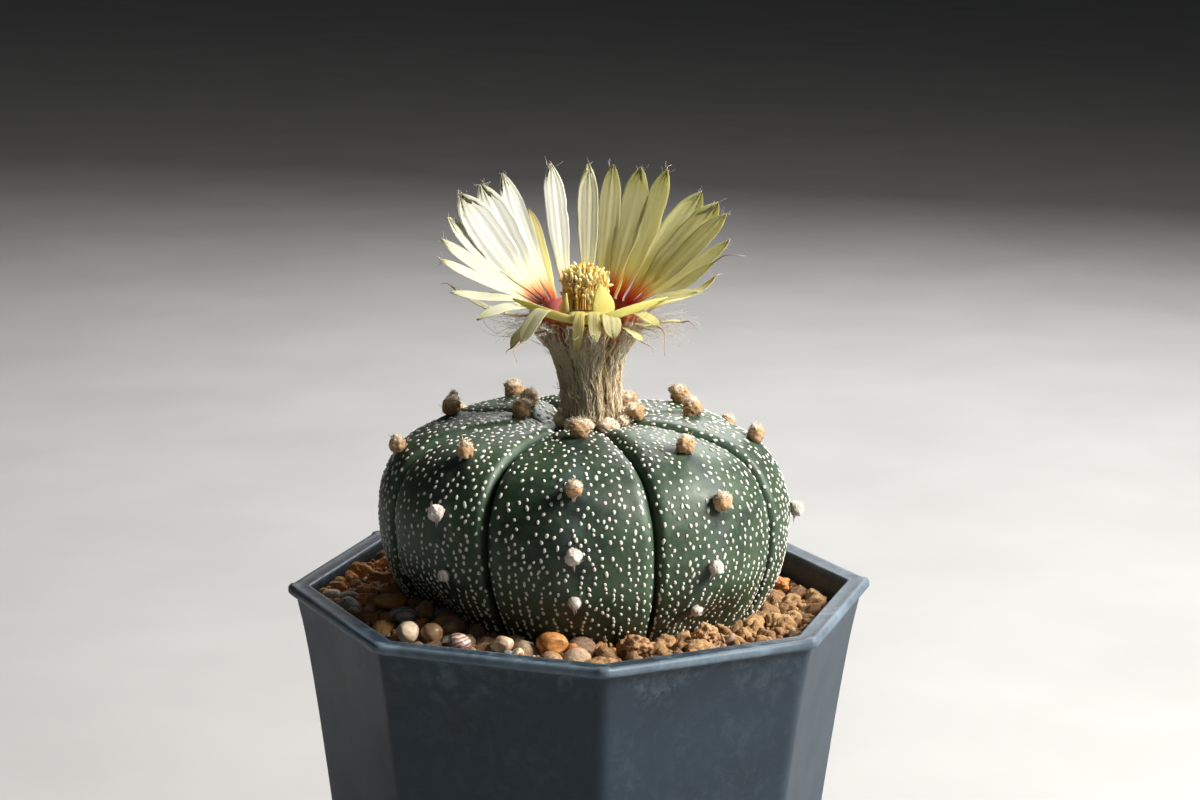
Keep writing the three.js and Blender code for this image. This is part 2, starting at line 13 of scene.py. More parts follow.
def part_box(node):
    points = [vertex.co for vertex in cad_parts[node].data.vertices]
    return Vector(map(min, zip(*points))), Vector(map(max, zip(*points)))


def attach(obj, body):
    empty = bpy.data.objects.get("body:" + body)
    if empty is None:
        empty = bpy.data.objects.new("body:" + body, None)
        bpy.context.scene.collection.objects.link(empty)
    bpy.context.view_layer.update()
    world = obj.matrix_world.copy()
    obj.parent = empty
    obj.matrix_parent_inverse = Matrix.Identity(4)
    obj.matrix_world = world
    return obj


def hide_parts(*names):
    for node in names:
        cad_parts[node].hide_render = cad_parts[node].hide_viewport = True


MM = 0.001
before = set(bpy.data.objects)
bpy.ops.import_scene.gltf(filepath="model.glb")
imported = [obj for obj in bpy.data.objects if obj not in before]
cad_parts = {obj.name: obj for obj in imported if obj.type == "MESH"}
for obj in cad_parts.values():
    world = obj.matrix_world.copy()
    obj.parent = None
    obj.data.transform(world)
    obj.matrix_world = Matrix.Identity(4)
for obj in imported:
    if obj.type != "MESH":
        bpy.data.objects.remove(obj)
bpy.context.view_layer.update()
TAU = 2 * math.pi
UP = np.array([0, 0, 1])


# Places taken from the frame

def box_mm(node):
    low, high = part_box(node)
    return np.array(low) / MM, np.array(high) / MM


RIM_Z = box_mm("pot")[1][2]
TUBE_BOTTOM = box_mm("floral_tube")[0][2]
BRUSH_TOP = box_mm("stamens")[1][2]

# The same sizes as the CAD part's.
POT_TURN = math.radians(4.68)
POT_ACROSS_CORNERS = 108.2
POT_WALL = 2.0
POT_TAPER = 0.125
RIM_WIDTH = 3.9
LIP_DEPTH = 1.8
LIP_OVERHANG = 1.2
WALL_FLARE = 1.5
FLARE_REACH = 10.0
FLOOR_THICKNESS = 2.5
FOOT_HEIGHT = 2.0
FOOT_WIDTH = 4.0
DRAIN_RADIUS = 6.0
CORNER_SHARE = math.cos(math.pi / 8)

PLANT_X = 0.4
PLANT_LEAN = -0.03
EQUATOR_ABOVE_RIM = 13.0
MIX_BELOW_RIM = 12.0
BODY_RADIUS = 37.7
CROWN_HEIGHT = 18.6
BASE_DEPTH = EQUATOR_ABOVE_RIM + MIX_BELOW_RIM
RIB_GROOVES = [-118, -69, -22, 23, 68, 113, 157, 200]
GROOVE_DEPTH = 3.6
CROWN_FLOOR = 7.54
EQUATOR_Z = RIM_Z + EQUATOR_ABOVE_RIM

TUBE_HEIGHT = 21.6
TUBE_RADIUS = 4.95
TUBE_X = 1.8
TUBE_LEAN = -0.07
CUP_RADIUS = 9.8
CUP_TILT = math.radians(4)
CUP_DEPTH = 9.0
BRUSH_RADIUS = 4.1
CLEARANCE = 0.35
TUBE_FOOT = np.array([TUBE_X, 0.0, TUBE_BOTTOM])
CUP = TUBE_FOOT + np.array([TUBE_LEAN * TUBE_HEIGHT, 0.0, TUBE_HEIGHT])


# Numbers and noise

def rng(seed):
    return np.random.default_rng(seed)


def smooth(x, low, high):
    t = np.clip((x - low) / (high - low), 0, 1)
    return t * t * (3 - 2 * t)


def mix(a, b, t):
    t = np.asarray(t)[..., None]
    return np.asarray(a) * (1 - t) + np.asarray(b) * t


def ramp(count, **how):
    return np.linspace(0, 1, count, **how)


def outward(a):
    return np.array([math.cos(a), math.sin(a), 0])


def sideways(a):
    return np.array([-math.sin(a), math.cos(a), 0])


def unit(v):
    return v / np.maximum(np.linalg.norm(v, axis=-1, keepdims=True), 1e-12)


def hash3(ix, iy, iz, seed):
    h = (ix * 374761393 + iy * 668265263 + iz * 2147483647 + seed * 1274126177) & 0xFFFFFFFF
    h = ((h ^ (h >> 13)) * 1274126177) & 0xFFFFFFFF
    return ((h ^ (h >> 16)) & 0xFFFFFF) / float(0xFFFFFF)


def noise3(p, scale=1.0, seed=0):
    """Smooth value noise from -1 to 1, at points p (n, 3)."""
    q = np.asarray(p, float) * scale
    base = np.floor(q).astype(np.int64)
    f = q - base
    f = f * f * (3 - 2 * f)
    out = np.zeros(len(q))
    for dx in (0, 1):
        for dy in (0, 1):
            for dz in (0, 1):
                w = (np.where(dx, f[:, 0], 1 - f[:, 0]) * np.where(dy, f[:, 1], 1 - f[:, 1])
                     * np.where(dz, f[:, 2], 1 - f[:, 2]))
                out += w * hash3(base[:, 0] + dx, base[:, 1] + dy, base[:, 2] + dz, seed)
    return out * 2 - 1


def fractal(p, scale, octaves=3, seed=0, gain=0.5):
    total, size = 0.0, 1.0
    for k in range(octaves):
        total = total + size * noise3(p, scale * 2 ** k, seed + 31 * k)
        size *= gain
    return total


# Meshes

class Shape:
    """Points and faces that grow piece by piece, with a colour and pattern place per point."""

    def __init__(self):
        self.points, self.faces, self.tints, self.places = [], [], [], []
        self.count = 0

    def add(self, points, faces, tint=(1, 1, 1), place=None):
        points = np.asarray(points, float).reshape(-1, 3)
        self.points.append(points)
        self.faces += [np.asarray(f, np.int64) + self.count for f in faces if len(f)]
        self.tints.append(np.broadcast_to(np.asarray(tint, float), (len(points), 3)))
        self.places.append(points if place is None else np.asarray(place, float).reshape(-1, 3))
        self.count += len(points)

    def make(self, name, material, slot, replaces=()):
        mesh = bpy.data.meshes.new(name)
        points = np.concatenate(self.points)
        mesh.vertices.add(len(points))
        mesh.vertices.foreach_set("co", (points * MM).astype(np.float32).ravel())
        sizes = np.concatenate([np.full(len(f), f.shape[1]) for f in self.faces])
        corners = np.concatenate([f.ravel() for f in self.faces])
        mesh.loops.add(len(corners))
        mesh.loops.foreach_set("vertex_index", corners.astype(np.int32))
        mesh.polygons.add(len(sizes))
        starts = np.concatenate([[0], np.cumsum(sizes)[:-1]])
        mesh.polygons.foreach_set("loop_start", starts.astype(np.int32))
        mesh.polygons.foreach_set("use_smooth", np.full(len(sizes), True))
        tint = mesh.attributes.new("tint", "FLOAT_COLOR", "POINT")
        rgba = np.ones((len(points), 4), np.float32)
        rgba[:, :3] = np.concatenate(self.tints)
        tint.data.foreach_set("color", rgba.ravel())
        place = mesh.attributes.new("place", "FLOAT_VECTOR", "POINT")
        place.data.foreach_set("vector", np.concatenate(self.places).astype(np.float32).ravel())
        mesh.update(calc_edges=True)
        mesh.validate()
        mesh.materials.append(material)
        obj = bpy.data.objects.new(name, mesh)
        bpy.context.scene.collection.objects.link(obj)
        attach(obj, "root")
        if replaces:
            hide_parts(*replaces)


def grid_faces(rows, columns, wrap_columns=False, wrap_rows=False):
    """Quads over a grid of points, facing out for a counter-clockwise ring that rises."""
    i = np.arange(rows if wrap_rows else rows - 1)[:, None]
    j = np.arange(columns if wrap_columns else columns - 1)[None, :]
    i2, j2 = (i + 1) % rows, (j + 1) % columns
    quad = [i * columns + j, i * columns + j2, i2 * columns + j2, i2 * columns + j]
    return np.stack(np.broadcast_arrays(*quad), -1).reshape(-1, 4)


def fan_faces(ring, pole, flip=False):
    ring = np.asarray(ring)
    after = np.roll(ring, -1)
    tri = np.stack([ring, after, np.full(len(ring), pole)], -1)
    return tri[:, ::-1] if flip else tri


def closed_faces(rows, columns):
    """Faces of a stack of rings that close in two poles, whose points come after the rings."""
    n = rows * columns
    return [grid_faces(rows, columns, True), fan_faces(np.arange(columns), n, True),
            fan_faces(np.arange(columns) + n - columns, n + 1)]


def frames_along(path):
    """Unit vectors to the side and up along a path, turning as little as they can."""
    ahead = unit(np.gradient(path, axis=0))
    side = np.zeros_like(path)
    start = np.cross(ahead[0], [0.0, 0.0, 1.0])
    if np.linalg.norm(start) < 1e-3:
        start = np.array([1.0, 0.0, 0.0])
    side[0] = unit(start)
    for k in range(1, len(path)):
        s = side[k - 1] - ahead[k] * np.dot(side[k - 1], ahead[k])
        side[k] = unit(s)
    return side, np.cross(side, ahead)


def strand(shape, path, radii, tint, sides=4):
    """A closed thin tube along a path, with a radius at each point."""
    path = np.asarray(path, float)
    radii = np.broadcast_to(np.asarray(radii, float), (len(path),))
    side, up = frames_along(path)
    turn = np.arange(sides) * TAU / sides
    rings = (path[:, None] + radii[:, None, None]
             * (np.cos(turn)[None, :, None] * side[:, None]
                + np.sin(turn)[None, :, None] * up[:, None]))
    points = np.concatenate([rings.reshape(-1, 3), path[:1], path[-1:]])
    n = len(path) * sides
    last = np.arange(sides) + n - sides
    faces = [grid_faces(len(path), sides, wrap_columns=True)[:, ::-1],
             fan_faces(np.arange(sides), n), fan_faces(last, n + 1, flip=True)]
    shape.add(points, faces, tint)


ICO = {}


def icosphere(level):
    """Points and triangles of a unit icosphere."""
    if level in ICO:
        return ICO[level]
    if level == 0:
        g = (1 + 5 ** 0.5) / 2
        points = np.array([(-1, g, 0), (1, g, 0), (-1, -g, 0), (1, -g, 0), (0, -1, g), (0, 1, g),
                           (0, -1, -g), (0, 1, -g), (g, 0, -1), (g, 0, 1), (-g, 0, -1),
                           (-g, 0, 1)], float)
        faces = np.array([(0, 11, 5), (0, 5, 1), (0, 1, 7), (0, 7, 10), (0, 10, 11),
                          (1, 5, 9), (5, 11, 4),
                          (11, 10, 2), (10, 7, 6), (7, 1, 8), (3, 9, 4), (3, 4, 2),
                          (3, 2, 6), (3, 6, 8),
                          (3, 8, 9), (4, 9, 5), (2, 4, 11), (6, 2, 10), (8, 6, 7), (9, 8, 1)])
        ICO[0] = unit(points), faces
        return ICO[0]
    points, faces = icosphere(level - 1)
    points = list(points)
    middle = {}

    def halfway(a, b):
        key = (min(a, b), max(a, b))
        if key not in middle:
            middle[key] = len(points)
            points.append(unit((points[a] + points[b]) / 2))
        return middle[key]

    found = []
    for a, b, c in faces:
        ab, bc, ca = halfway(a, b), halfway(b, c), halfway(c, a)
        found += [(a, ab, ca), (b, bc, ab), (c, ca, bc), (ab, bc, ca)]
    ICO[level] = np.array(points), np.array(found)
    return ICO[level]


def turned(r):
    """A random rotation matrix."""
    q = unit(r.normal(size=4))
    w, x, y, z = q
    return np.array([[1 - 2 * (y * y + z * z), 2 * (x * y - z * w), 2 * (x * z + y * w)],
                     [2 * (x * y + z * w), 1 - 2 * (x * x + z * z), 2 * (y * z - x * w)],
                     [2 * (x * z - y * w), 2 * (y * z + x * w), 1 - 2 * (x * x + y * y)]])


# Materials

def srgb(r, g, b):
    c = np.array([r, g, b]) / 255
    return np.where(c <= 0.04045, c / 12.92, ((c + 0.055) / 1.055) ** 2.4)


def between(low, high, t):
    return mix(srgb(*low), srgb(*high), t)


def paint(colour, *layers):
    """Lays each layer's colour over the last by its amount."""
    for tone, amount in layers:
        colour = mix(colour, srgb(*tone), amount)
    return colour


class Nodes:
    """A material's node tree, with a short way to add and join nodes."""

    def __init__(self, name):
        self.material = bpy.data.materials.new(name)
        self.material.use_nodes = True
        self.tree = self.material.node_tree
        self.shader = self.tree.nodes["Principled BSDF"]
        self.output = self.tree.nodes["Material Output"]

    def add(self, kind, inputs=None, **settings):
        node = self.tree.nodes.new(kind)
        for key, value in settings.items():
            setattr(node, key, value)
        for key, value in (inputs or {}).items():
            self.put(value, node.inputs[key])
        return node

    def put(self, value, socket):
        if isinstance(value, bpy.types.NodeSocket):
            self.tree.links.new(value, socket)
        elif hasattr(value, "__len__") and len(value) == 3 and socket.type == "RGBA":
            socket.default_value = (*value, 1)
        else:
            socket.default_value = value

    def set(self, **values):
        for key, value in values.items():
            self.put(value, self.shader.inputs[key.replace("_", " ")])

    @property
    def place(self):
        return self.add("ShaderNodeTexCoord").outputs["Object"]

    @property
    def tint(self):
        return self.attribute("tint").outputs["Color"]

    def attribute(self, name):
        return self.add("ShaderNodeAttribute", attribute_name=name)

    def scaled(self, vector, scale):
        node = self.add("ShaderNodeVectorMath", operation="MULTIPLY", inputs={0: vector, 1: scale})
        return node.outputs[0]

    def noise(self, vector, scale, detail=3.0, rough=0.55, distortion=0.0):
        node = self.add("ShaderNodeTexNoise", inputs={
            "Vector": vector, "Scale": scale, "Detail": detail, "Roughness": rough,
                                                      "Distortion": distortion})
        return node.outputs[0]

    def span(self, value, low, high, to_low=0.0, to_high=1.0):
        node = self.add("ShaderNodeMapRange", inputs={
            "Value": value, "From Min": low, "From Max": high, "To Min": to_low, "To Max": to_high})
        return node.outputs[0]

    def math(self, operation, a, b=0.0):
        return self.add("ShaderNodeMath", operation=operation, inputs={0: a, 1: b}).outputs[0]

    def blend(self, factor, a, b, kind="MIX"):
        node = self.add("ShaderNodeMix", data_type="RGBA", blend_type=kind)
        self.put(factor, node.inputs["Factor"])
        self.put(a, node.inputs[6])
        self.put(b, node.inputs[7])
        return node.outputs[2]

    def bump(self, height, strength, distance, normal=None):
        node = self.add("ShaderNodeBump", inputs={"Height": height, "Strength": strength,
                "Distance": distance * MM})
        if normal is not None:
            self.put(normal, node.inputs["Normal"])
        return node.outputs[0]


def translucent_mix(n, colour, share, normal):
    """Lets some light through a thin piece, with the same colour from both sides."""
    through = n.add("ShaderNodeBsdfTranslucent", inputs={"Color": colour, "Normal": normal})
    mixer = n.add("ShaderNodeMixShader", inputs={0: share})
    n.tree.links.new(n.shader.outputs[0], mixer.inputs[1])
    n.tree.links.new(through.outputs[0], mixer.inputs[2])
    n.tree.links.new(mixer.outputs[0], n.output.inputs["Surface"])


def pot_material():
    n = Nodes("pot_plastic")
    place = n.place
    tint = n.tint
    rim = n.add("ShaderNodeSeparateColor",
                inputs={0: tint})        # R: near the rim, G: inside, B: lip edge
    clouds = n.noise(place, 55, 4, 0.6)
    base = n.blend(n.span(clouds, 0.3, 0.7), srgb(33, 46, 57), srgb(41, 56, 68))
    # Dried water marks: pale mottling, thick on the rim and thinning down the wall.
    marks = n.noise(place, 420, 6, 0.7, 0.6)
    patches = n.noise(place, 90, 3, 0.6, 0.4)
    gathered = n.math("MULTIPLY", n.span(marks, 0.46, 0.64), n.span(patches, 0.36, 0.62))
    amount = n.math("MULTIPLY", gathered, n.span(rim.outputs[0], 0, 1, 0.08, 0.75))
    base = n.blend(amount, base, srgb(118, 132, 142))
    # Vertical wipe marks and rubbed edges.
    streaks = n.noise(n.scaled(place, (1, 1, 0.08)), 700, 4, 0.65)
    base = n.blend(n.span(streaks, 0.62, 0.8, 0, 0.22), base, srgb(92, 106, 117))
    base = n.blend(n.math("MULTIPLY", rim.outputs[2], n.span(patches, 0.3, 0.6, 0.25, 0.6)), base,
                   srgb(118, 136, 149))
    dust = n.math("MULTIPLY", rim.outputs[1], n.span(clouds, 0.35, 0.6, 0.1, 0.55))
    base = n.blend(dust, base, srgb(104, 92, 78))
    n.set(Base_Color=base)
    n.set(Roughness=n.math("ADD", n.span(clouds, 0.3, 0.7, 0.44, 0.54),
                           n.math("MULTIPLY", amount, 0.3)))
    fine = n.bump(n.noise(place, 2600, 3, 0.6), 0.12, 0.05)
    n.set(Normal=n.bump(n.noise(place, 160, 3, 0.5), 0.10, 0.35, fine))
    n.set(Specular_IOR_Level=0.3)
    return n.material


def soil_material():
    n = Nodes("potting_mix")
    place = n.place
    crumbs = n.noise(place, 500, 5, 0.7)
    colour = n.blend(n.span(crumbs, 0.35, 0.65), srgb(38, 27, 19), srgb(94, 70, 48))
    n.set(Base_Color=colour, Roughness=0.95, Normal=n.bump(crumbs, 0.9, 0.9))
    return n.material


def tinted_material(name, fine_scale, bump_mm, rough, vary=0.28, strength=0.6, gloss=None):
    """Stone or clay whose colour comes from its points, with finer speckle and grain."""
    n = Nodes(name)
    place = n.place
    tint = n.tint
    speckle = n.noise(place, fine_scale, 5, 0.65)
    dark = n.blend(1.0, tint, (1 - vary,) * 3, "MULTIPLY")
    light = n.blend(vary * 0.5, tint, (0.95, 0.80, 0.56))
    colour = n.blend(n.span(speckle, 0.32, 0.68), dark, light)
    n.set(Base_Color=colour, Roughness=n.span(speckle, 0.3, 0.7, rough - 0.06,
            min(rough + 0.06, 1)))
    n.set(Normal=n.bump(speckle, strength, bump_mm))
    if gloss is not None:
        n.set(Specular_IOR_Level=gloss)
    return n.material


def skin_material():
    n = Nodes("cactus_skin")
    place = n.place
    tint = n.tint
    blotch = n.noise(place, 190, 4, 0.6, 0.5)
    fine = n.noise(place, 900, 5, 0.65)
    pores = n.noise(place, 3200, 2, 0.5)
    colour = n.blend(n.span(blotch, 0.35, 0.68), tint, n.blend(1.0, tint,
            (0.72, 0.76, 0.78), "MULTIPLY"))
    colour = n.blend(n.span(fine, 0.45, 0.75, 0, 0.35), colour,
                     n.blend(0.5, tint, srgb(104, 124, 96)))
    n.set(Base_Color=colour, Roughness=n.span(fine, 0.3, 0.7, 0.42, 0.58))
    first = n.bump(pores, 0.25, 0.04)
    n.set(Normal=n.bump(n.noise(place, 420, 4, 0.6), 0.35, 0.16, first), Specular_IOR_Level=0.42)
    n.set(Subsurface_Weight=0.06, Subsurface_Radius=(0.5, 0.8, 0.3), Subsurface_Scale=0.001)
    return n.material


def wool_material(name, share=0.15):
    n = Nodes(name)
    place = n.place
    tint = n.tint
    fluff = n.noise(place, 3500, 3, 0.7)
    colour = n.blend(n.span(fluff, 0.35, 0.7), n.blend(1.0, tint, (0.82, 0.78, 0.74),
            "MULTIPLY"), tint)
    normal = n.bump(fluff, 0.5, 0.12)
    n.set(Base_Color=colour, Roughness=0.95, Normal=normal, Specular_IOR_Level=0.2)
    n.set(Sheen_Weight=0.25, Sheen_Roughness=0.5)
    if share:
        translucent_mix(n, colour, share, normal)
    return n.material


def tepal_material(name, share, stripe=0.35):
    """Silky petal tissue; place holds mm across, share of the length, and a number of its own."""
    n = Nodes(name)
    tint = n.tint
    place = n.attribute("place").outputs["Vector"]
    veins = n.noise(n.scaled(place, (5.0, 2.2, 1.0)), 1.0, 4, 0.62)
    silk = n.noise(n.scaled(place, (14.0, 3.0, 1.0)), 1.0, 2, 0.5)
    cells = n.noise(n.place, 2400, 3, 0.6)
    dark = n.blend(1.0, tint, (0.86, 0.87, 0.76), "MULTIPLY")
    colour = n.blend(n.span(veins, 0.34, 0.66, stripe, 0), tint, dark)
    colour = n.blend(n.span(cells, 0.5, 0.75, 0, 0.18), colour, dark)
    height = n.math("ADD", n.math("MULTIPLY", veins, 0.7), n.math("MULTIPLY", silk, 0.3))
    normal = n.bump(height, 0.4, 0.2)
    n.set(Base_Color=colour, Roughness=n.span(silk, 0.3, 0.7, 0.34, 0.52), Normal=normal)
    n.set(Specular_IOR_Level=0.45, Sheen_Weight=0.2)
    translucent_mix(n, colour, share, normal)
    return n.material


def simple_material(name, rough, share=0.0, scale=2600, bump_mm=0.06, gloss=0.4):
    n = Nodes(name)
    tint = n.tint
    grain = n.noise(n.place, scale, 3, 0.6)
    colour = n.blend(n.span(grain, 0.35, 0.7, 0.3, 0), tint,
                     n.blend(1.0, tint, (0.72, 0.68, 0.6), "MULTIPLY"))
    normal = n.bump(grain, 0.4, bump_mm)
    n.set(Base_Color=colour, Roughness=n.span(grain, 0.3, 0.7, rough - 0.05, rough + 0.05),
          Normal=normal)
    n.set(Specular_IOR_Level=gloss)
    if share:
        translucent_mix(n, colour, share, normal)
    return n.material


# Pot

def octagon(corner_r, rounding, z, arc=6, flats=5):
    """A ring of an octagon with rounded corners, and which of its points lie on them."""
    flat = corner_r * CORNER_SHARE
    centre = (flat - rounding) / CORNER_SHARE
    edge = math.atan2(rounding * math.sin(math.pi / 8), centre + rounding * CORNER_SHARE)
    support = edge + 0.55 / corner_r
    offsets = list(-math.pi / 8 + ramp(flats, endpoint=False)
                   * (math.pi / 8 - support)) + [-support]
    corner = list(np.linspace(-edge, edge, arc))
    after = [support] + list((math.pi / 8 - np.linspace(1, 0, flats, endpoint=False)[1:]
                              * (math.pi / 8 - support)))
    places = [(o, 0) for o in offsets] + [(o, 1) for o in corner] + [(o, 0) for o in after]
    ring, near = [], []
    for side in range(8):
        for offset, on_arc in places:
            if on_arc:
                root = max(rounding ** 2 - (centre * math.sin(offset)) ** 2, 0)
                reach = centre * math.cos(offset) + math.sqrt(root)
            else:
                reach = flat / math.cos(math.pi / 8 - abs(offset))
            angle = POT_TURN + side * math.pi / 4 + offset
            ring.append((reach * math.cos(angle), reach * math.sin(angle), z))
            near.append(on_arc)
    return np.array(ring), np.array(near, float)


LIP_R = POT_ACROSS_CORNERS / 2
WALL_START = LIP_R - LIP_OVERHANG - WALL_FLARE * math.exp(-LIP_DEPTH
        / FLARE_REACH) + POT_TAPER * LIP_DEPTH
RIM_INNER_R = LIP_R - RIM_WIDTH / CORNER_SHARE


def outer_wall(z):
    depth = RIM_Z - z
    return WALL_START - POT_TAPER * depth + WALL_FLARE * math.exp(-depth / FLARE_REACH)


def inner_wall(z):
    return min(RIM_INNER_R, WALL_START - POT_TAPER * (RIM_Z - z) - POT_WALL / CORNER_SHARE)


def build_pot():
    """Up the outside, over the lip and down inside to the drain hole and the foot's recess."""
    rows = []          # corner radius, rounding, z, rim, inside, edge

    def row(r, rounding, z, rim=0.0, inside=0.0, edge=0.0):
        rows.append((r, rounding, z, rim, inside, edge))

    foot_r = outer_wall(0)
    row(foot_r - 0.6, 3.0, 0, edge=0.2)
    row(foot_r - 0.18, 3.4, 0.14, edge=0.5)
    row(foot_r, 3.5, 0.55, edge=0.5)
    row(foot_r + 0.02, 3.5, 1.2)
    for share in np.linspace(0.05, 0.86, 14):
        z = RIM_Z * share
        row(outer_wall(z), 3.5, z)
    for depth in (11, 9.5, 8, 6.6, 5.4, 4.3, 3.4, 2.7, 2.25):
        z = RIM_Z - depth
        row(outer_wall(z), 3.5 - 0.5 * (depth < 6), z, rim=smooth(-depth, -11, -2) * 0.5)
    z = RIM_Z - LIP_DEPTH
    row(outer_wall(z) + 0.12, 3.0, z - 0.18, rim=0.6)
    row(outer_wall(z) + 0.45, 2.7, z - 0.02, rim=0.7)
    row(LIP_R - 0.32, 2.5, z + 0.06, rim=0.8, edge=0.4)
    row(LIP_R - 0.08, 2.5, z + 0.3, rim=1.0, edge=0.8)
    row(LIP_R, 2.5, z + 0.7, rim=1.0, edge=1.0)
    # Over the raised bead, across the shallow valley behind it, and over the inner edge.
    bead = ((-0.02, 2.5, 0.62, 1.0), (-0.16, 2.4, 0.28, 1.0), (-0.42, 2.3, 0.08, 0.9),
            (-0.78, 2.1, 0, 0.6), (-1.25, 2.0, 0.06, 0.1), (-1.7, 1.9, 0.12, 0),
            (-2.4, 1.9, 0.14, 0))
    inner_edge = ((1.1, 1.9, 0.13, 0), (0.7, 1.9, 0.11, 0.3), (0.38, 1.9, 0.10, 0.8),
                  (0.1, 1.8, 0.30, 0.8))
    for start, steps in ((LIP_R, bead), (RIM_INNER_R, inner_edge)):
        for out, rounding, drop, edge in steps:
            row(start + out, rounding, RIM_Z - drop, rim=1.0, edge=edge)
    row(RIM_INNER_R, 1.8, RIM_Z - 0.7, rim=0.9, inside=0.1, edge=0.3)
    for depth in (1.4, 2.4, 3.6, 5, 7, 9.5, 12.5, 20, 30, 42, 54, 66, 78):
        z = RIM_Z - depth
        row(inner_wall(z), 1.9, z, rim=0.35 * (depth < 4), inside=min(depth / 8, 1))
    floor_top = FOOT_HEIGHT + FLOOR_THICKNESS
    row(inner_wall(floor_top + 2), 2.5, floor_top + 2, inside=1)
    row(inner_wall(floor_top) - 0.6, 2.5, floor_top + 0.6, inside=1)
    row(inner_wall(floor_top) - 2, 2.5, floor_top, inside=1)
    rings, near = zip(*[octagon(r, rounding, z) for r, rounding, z, *_ in rows])
    rings = list(rings)
    marks = [np.tile(m, (len(rings[0]), 1)) for m in (row[3:] for row in rows)]
    # The lip's eight corners stand up and out a little, like small ears.
    for k, (r, _, z, _, _, edge) in enumerate(rows):
        if r > RIM_INNER_R + 2.2 and z > RIM_Z - LIP_DEPTH - 0.05:
            ears = near[k] * 0.35
            out = unit(rings[k] * [1, 1, 0])
            rings[k] = rings[k] + out * ears[:, None] * 0.5 + UP * ears[:, None] * 0.5
            marks[k][:, 2] = np.maximum(marks[k][:, 2], near[k] * 0.9)
    count = len(rings[0])
    angle = np.arctan2(rings[-1][:, 1], rings[-1][:, 0])

    def circle(radius, z, inside):
        rings.append(np.stack([radius * np.cos(angle), radius * np.sin(angle),
                               np.full(count, z)], -1))
        marks.append(np.tile((0, inside, 0), (count, 1)))

    circle(DRAIN_RADIUS + 0.3, floor_top, 1)
    circle(DRAIN_RADIUS, floor_top - 0.3, 1)
    circle(DRAIN_RADIUS, FOOT_HEIGHT + 0.3, 0.4)
    circle(DRAIN_RADIUS + 0.3, FOOT_HEIGHT, 0.2)
    for r, z in ((foot_r - FOOT_WIDTH / CORNER_SHARE - 1, FOOT_HEIGHT),
                 (foot_r - FOOT_WIDTH / CORNER_SHARE - 0.4, 1.6),
                 (foot_r - FOOT_WIDTH / CORNER_SHARE, 0.3),
                 (foot_r - FOOT_WIDTH / CORNER_SHARE + 0.3, 0)):
        rings.append(octagon(r, 2.5, z)[0])
        marks.append(np.zeros((count, 3)))
    shape = Shape()
    shape.add(np.concatenate(rings), [grid_faces(len(rings), count, True, True)],
              np.concatenate(marks))
    shape.make("pot_shell", pot_material(), "pot_plastic", ["pot"])


# The body's ribbed skin

CREST = [(0.26, -1.06), (0.48, -1.0), (0.66, -0.9), (0.8, -0.74), (0.885, -0.58), (0.945, -0.42),
         (0.98, -0.25), (0.998, -0.08), (1.0, 0.1), (0.985, 0.33), (0.94, 0.55), (0.86, 0.75),
         (0.74, 0.89), (0.58, 0.97), (0.4, 1.0)]
CROWN = [(1.5, 0.98), (1.2, 0.93), (1, 0.893), (0.25, 0.89)]
CREST_MM = np.array(
    [(r * BODY_RADIUS, h * (BASE_DEPTH if h < 0 else CROWN_HEIGHT)) for r, h in CREST]
    + [(r * CROWN_FLOOR, h * CROWN_HEIGHT) for r, h in CROWN])


def crest_at(share):
    """Radius of a rib's crest and its height over the equator, at shares of the way up."""
    p = np.concatenate([[2 * CREST_MM[0] - CREST_MM[1]], CREST_MM,
                        [2 * CREST_MM[-1] - CREST_MM[-2]]])
    at = np.clip(np.asarray(share, float), 0, 1) * (len(CREST_MM) - 1)
    k = np.minimum(at.astype(int), len(CREST_MM) - 2)
    t = (at - k)[:, None]
    p0, p1, p2, p3 = p[k], p[k + 1], p[k + 2], p[k + 3]
    d0 = np.sqrt(np.linalg.norm(p1 - p0, axis=1))[:, None]
    d1 = np.sqrt(np.linalg.norm(p2 - p1, axis=1))[:, None]
    d2 = np.sqrt(np.linalg.norm(p3 - p2, axis=1))[:, None]
    t1 = ((p1 - p0) / d0 - (p2 - p0) / (d0 + d1) + (p2 - p1) / d1) * d1
    t2 = ((p2 - p1) / d1 - (p3 - p1) / (d1 + d2) + (p3 - p2) / d2) * d1
    c2 = -3 * p1 + 3 * p2 - 2 * t1 - t2
    c3 = 2 * p1 - 2 * p2 + t1 + t2
    return p1 + t1 * t + c2 * t ** 2 + c3 * t ** 3


# The feet of two ribs draw in toward the soil: azimuth, depth and half-angle of each hollow.
FOOT_TUCKS = [(217, 4.4, 15), (309, 3.6, 15)]


def foot_tuck(azimuth, z, reach):
    low = 1 - smooth(z - EQUATOR_Z, -14, -5)
    depth = sum(most * np.exp(-(((np.degrees(azimuth) - middle + 900) % 360 - 180) / spread) ** 2)
                for middle, most, spread in FOOT_TUCKS)
    return depth * low * reach / BODY_RADIUS


def rib_span(rib):
    """Start and width in degrees of a rib, between its two grooves."""
    start = RIB_GROOVES[rib % 8]
    return start, (RIB_GROOVES[(rib + 1) % 8] - start + 720) % 360


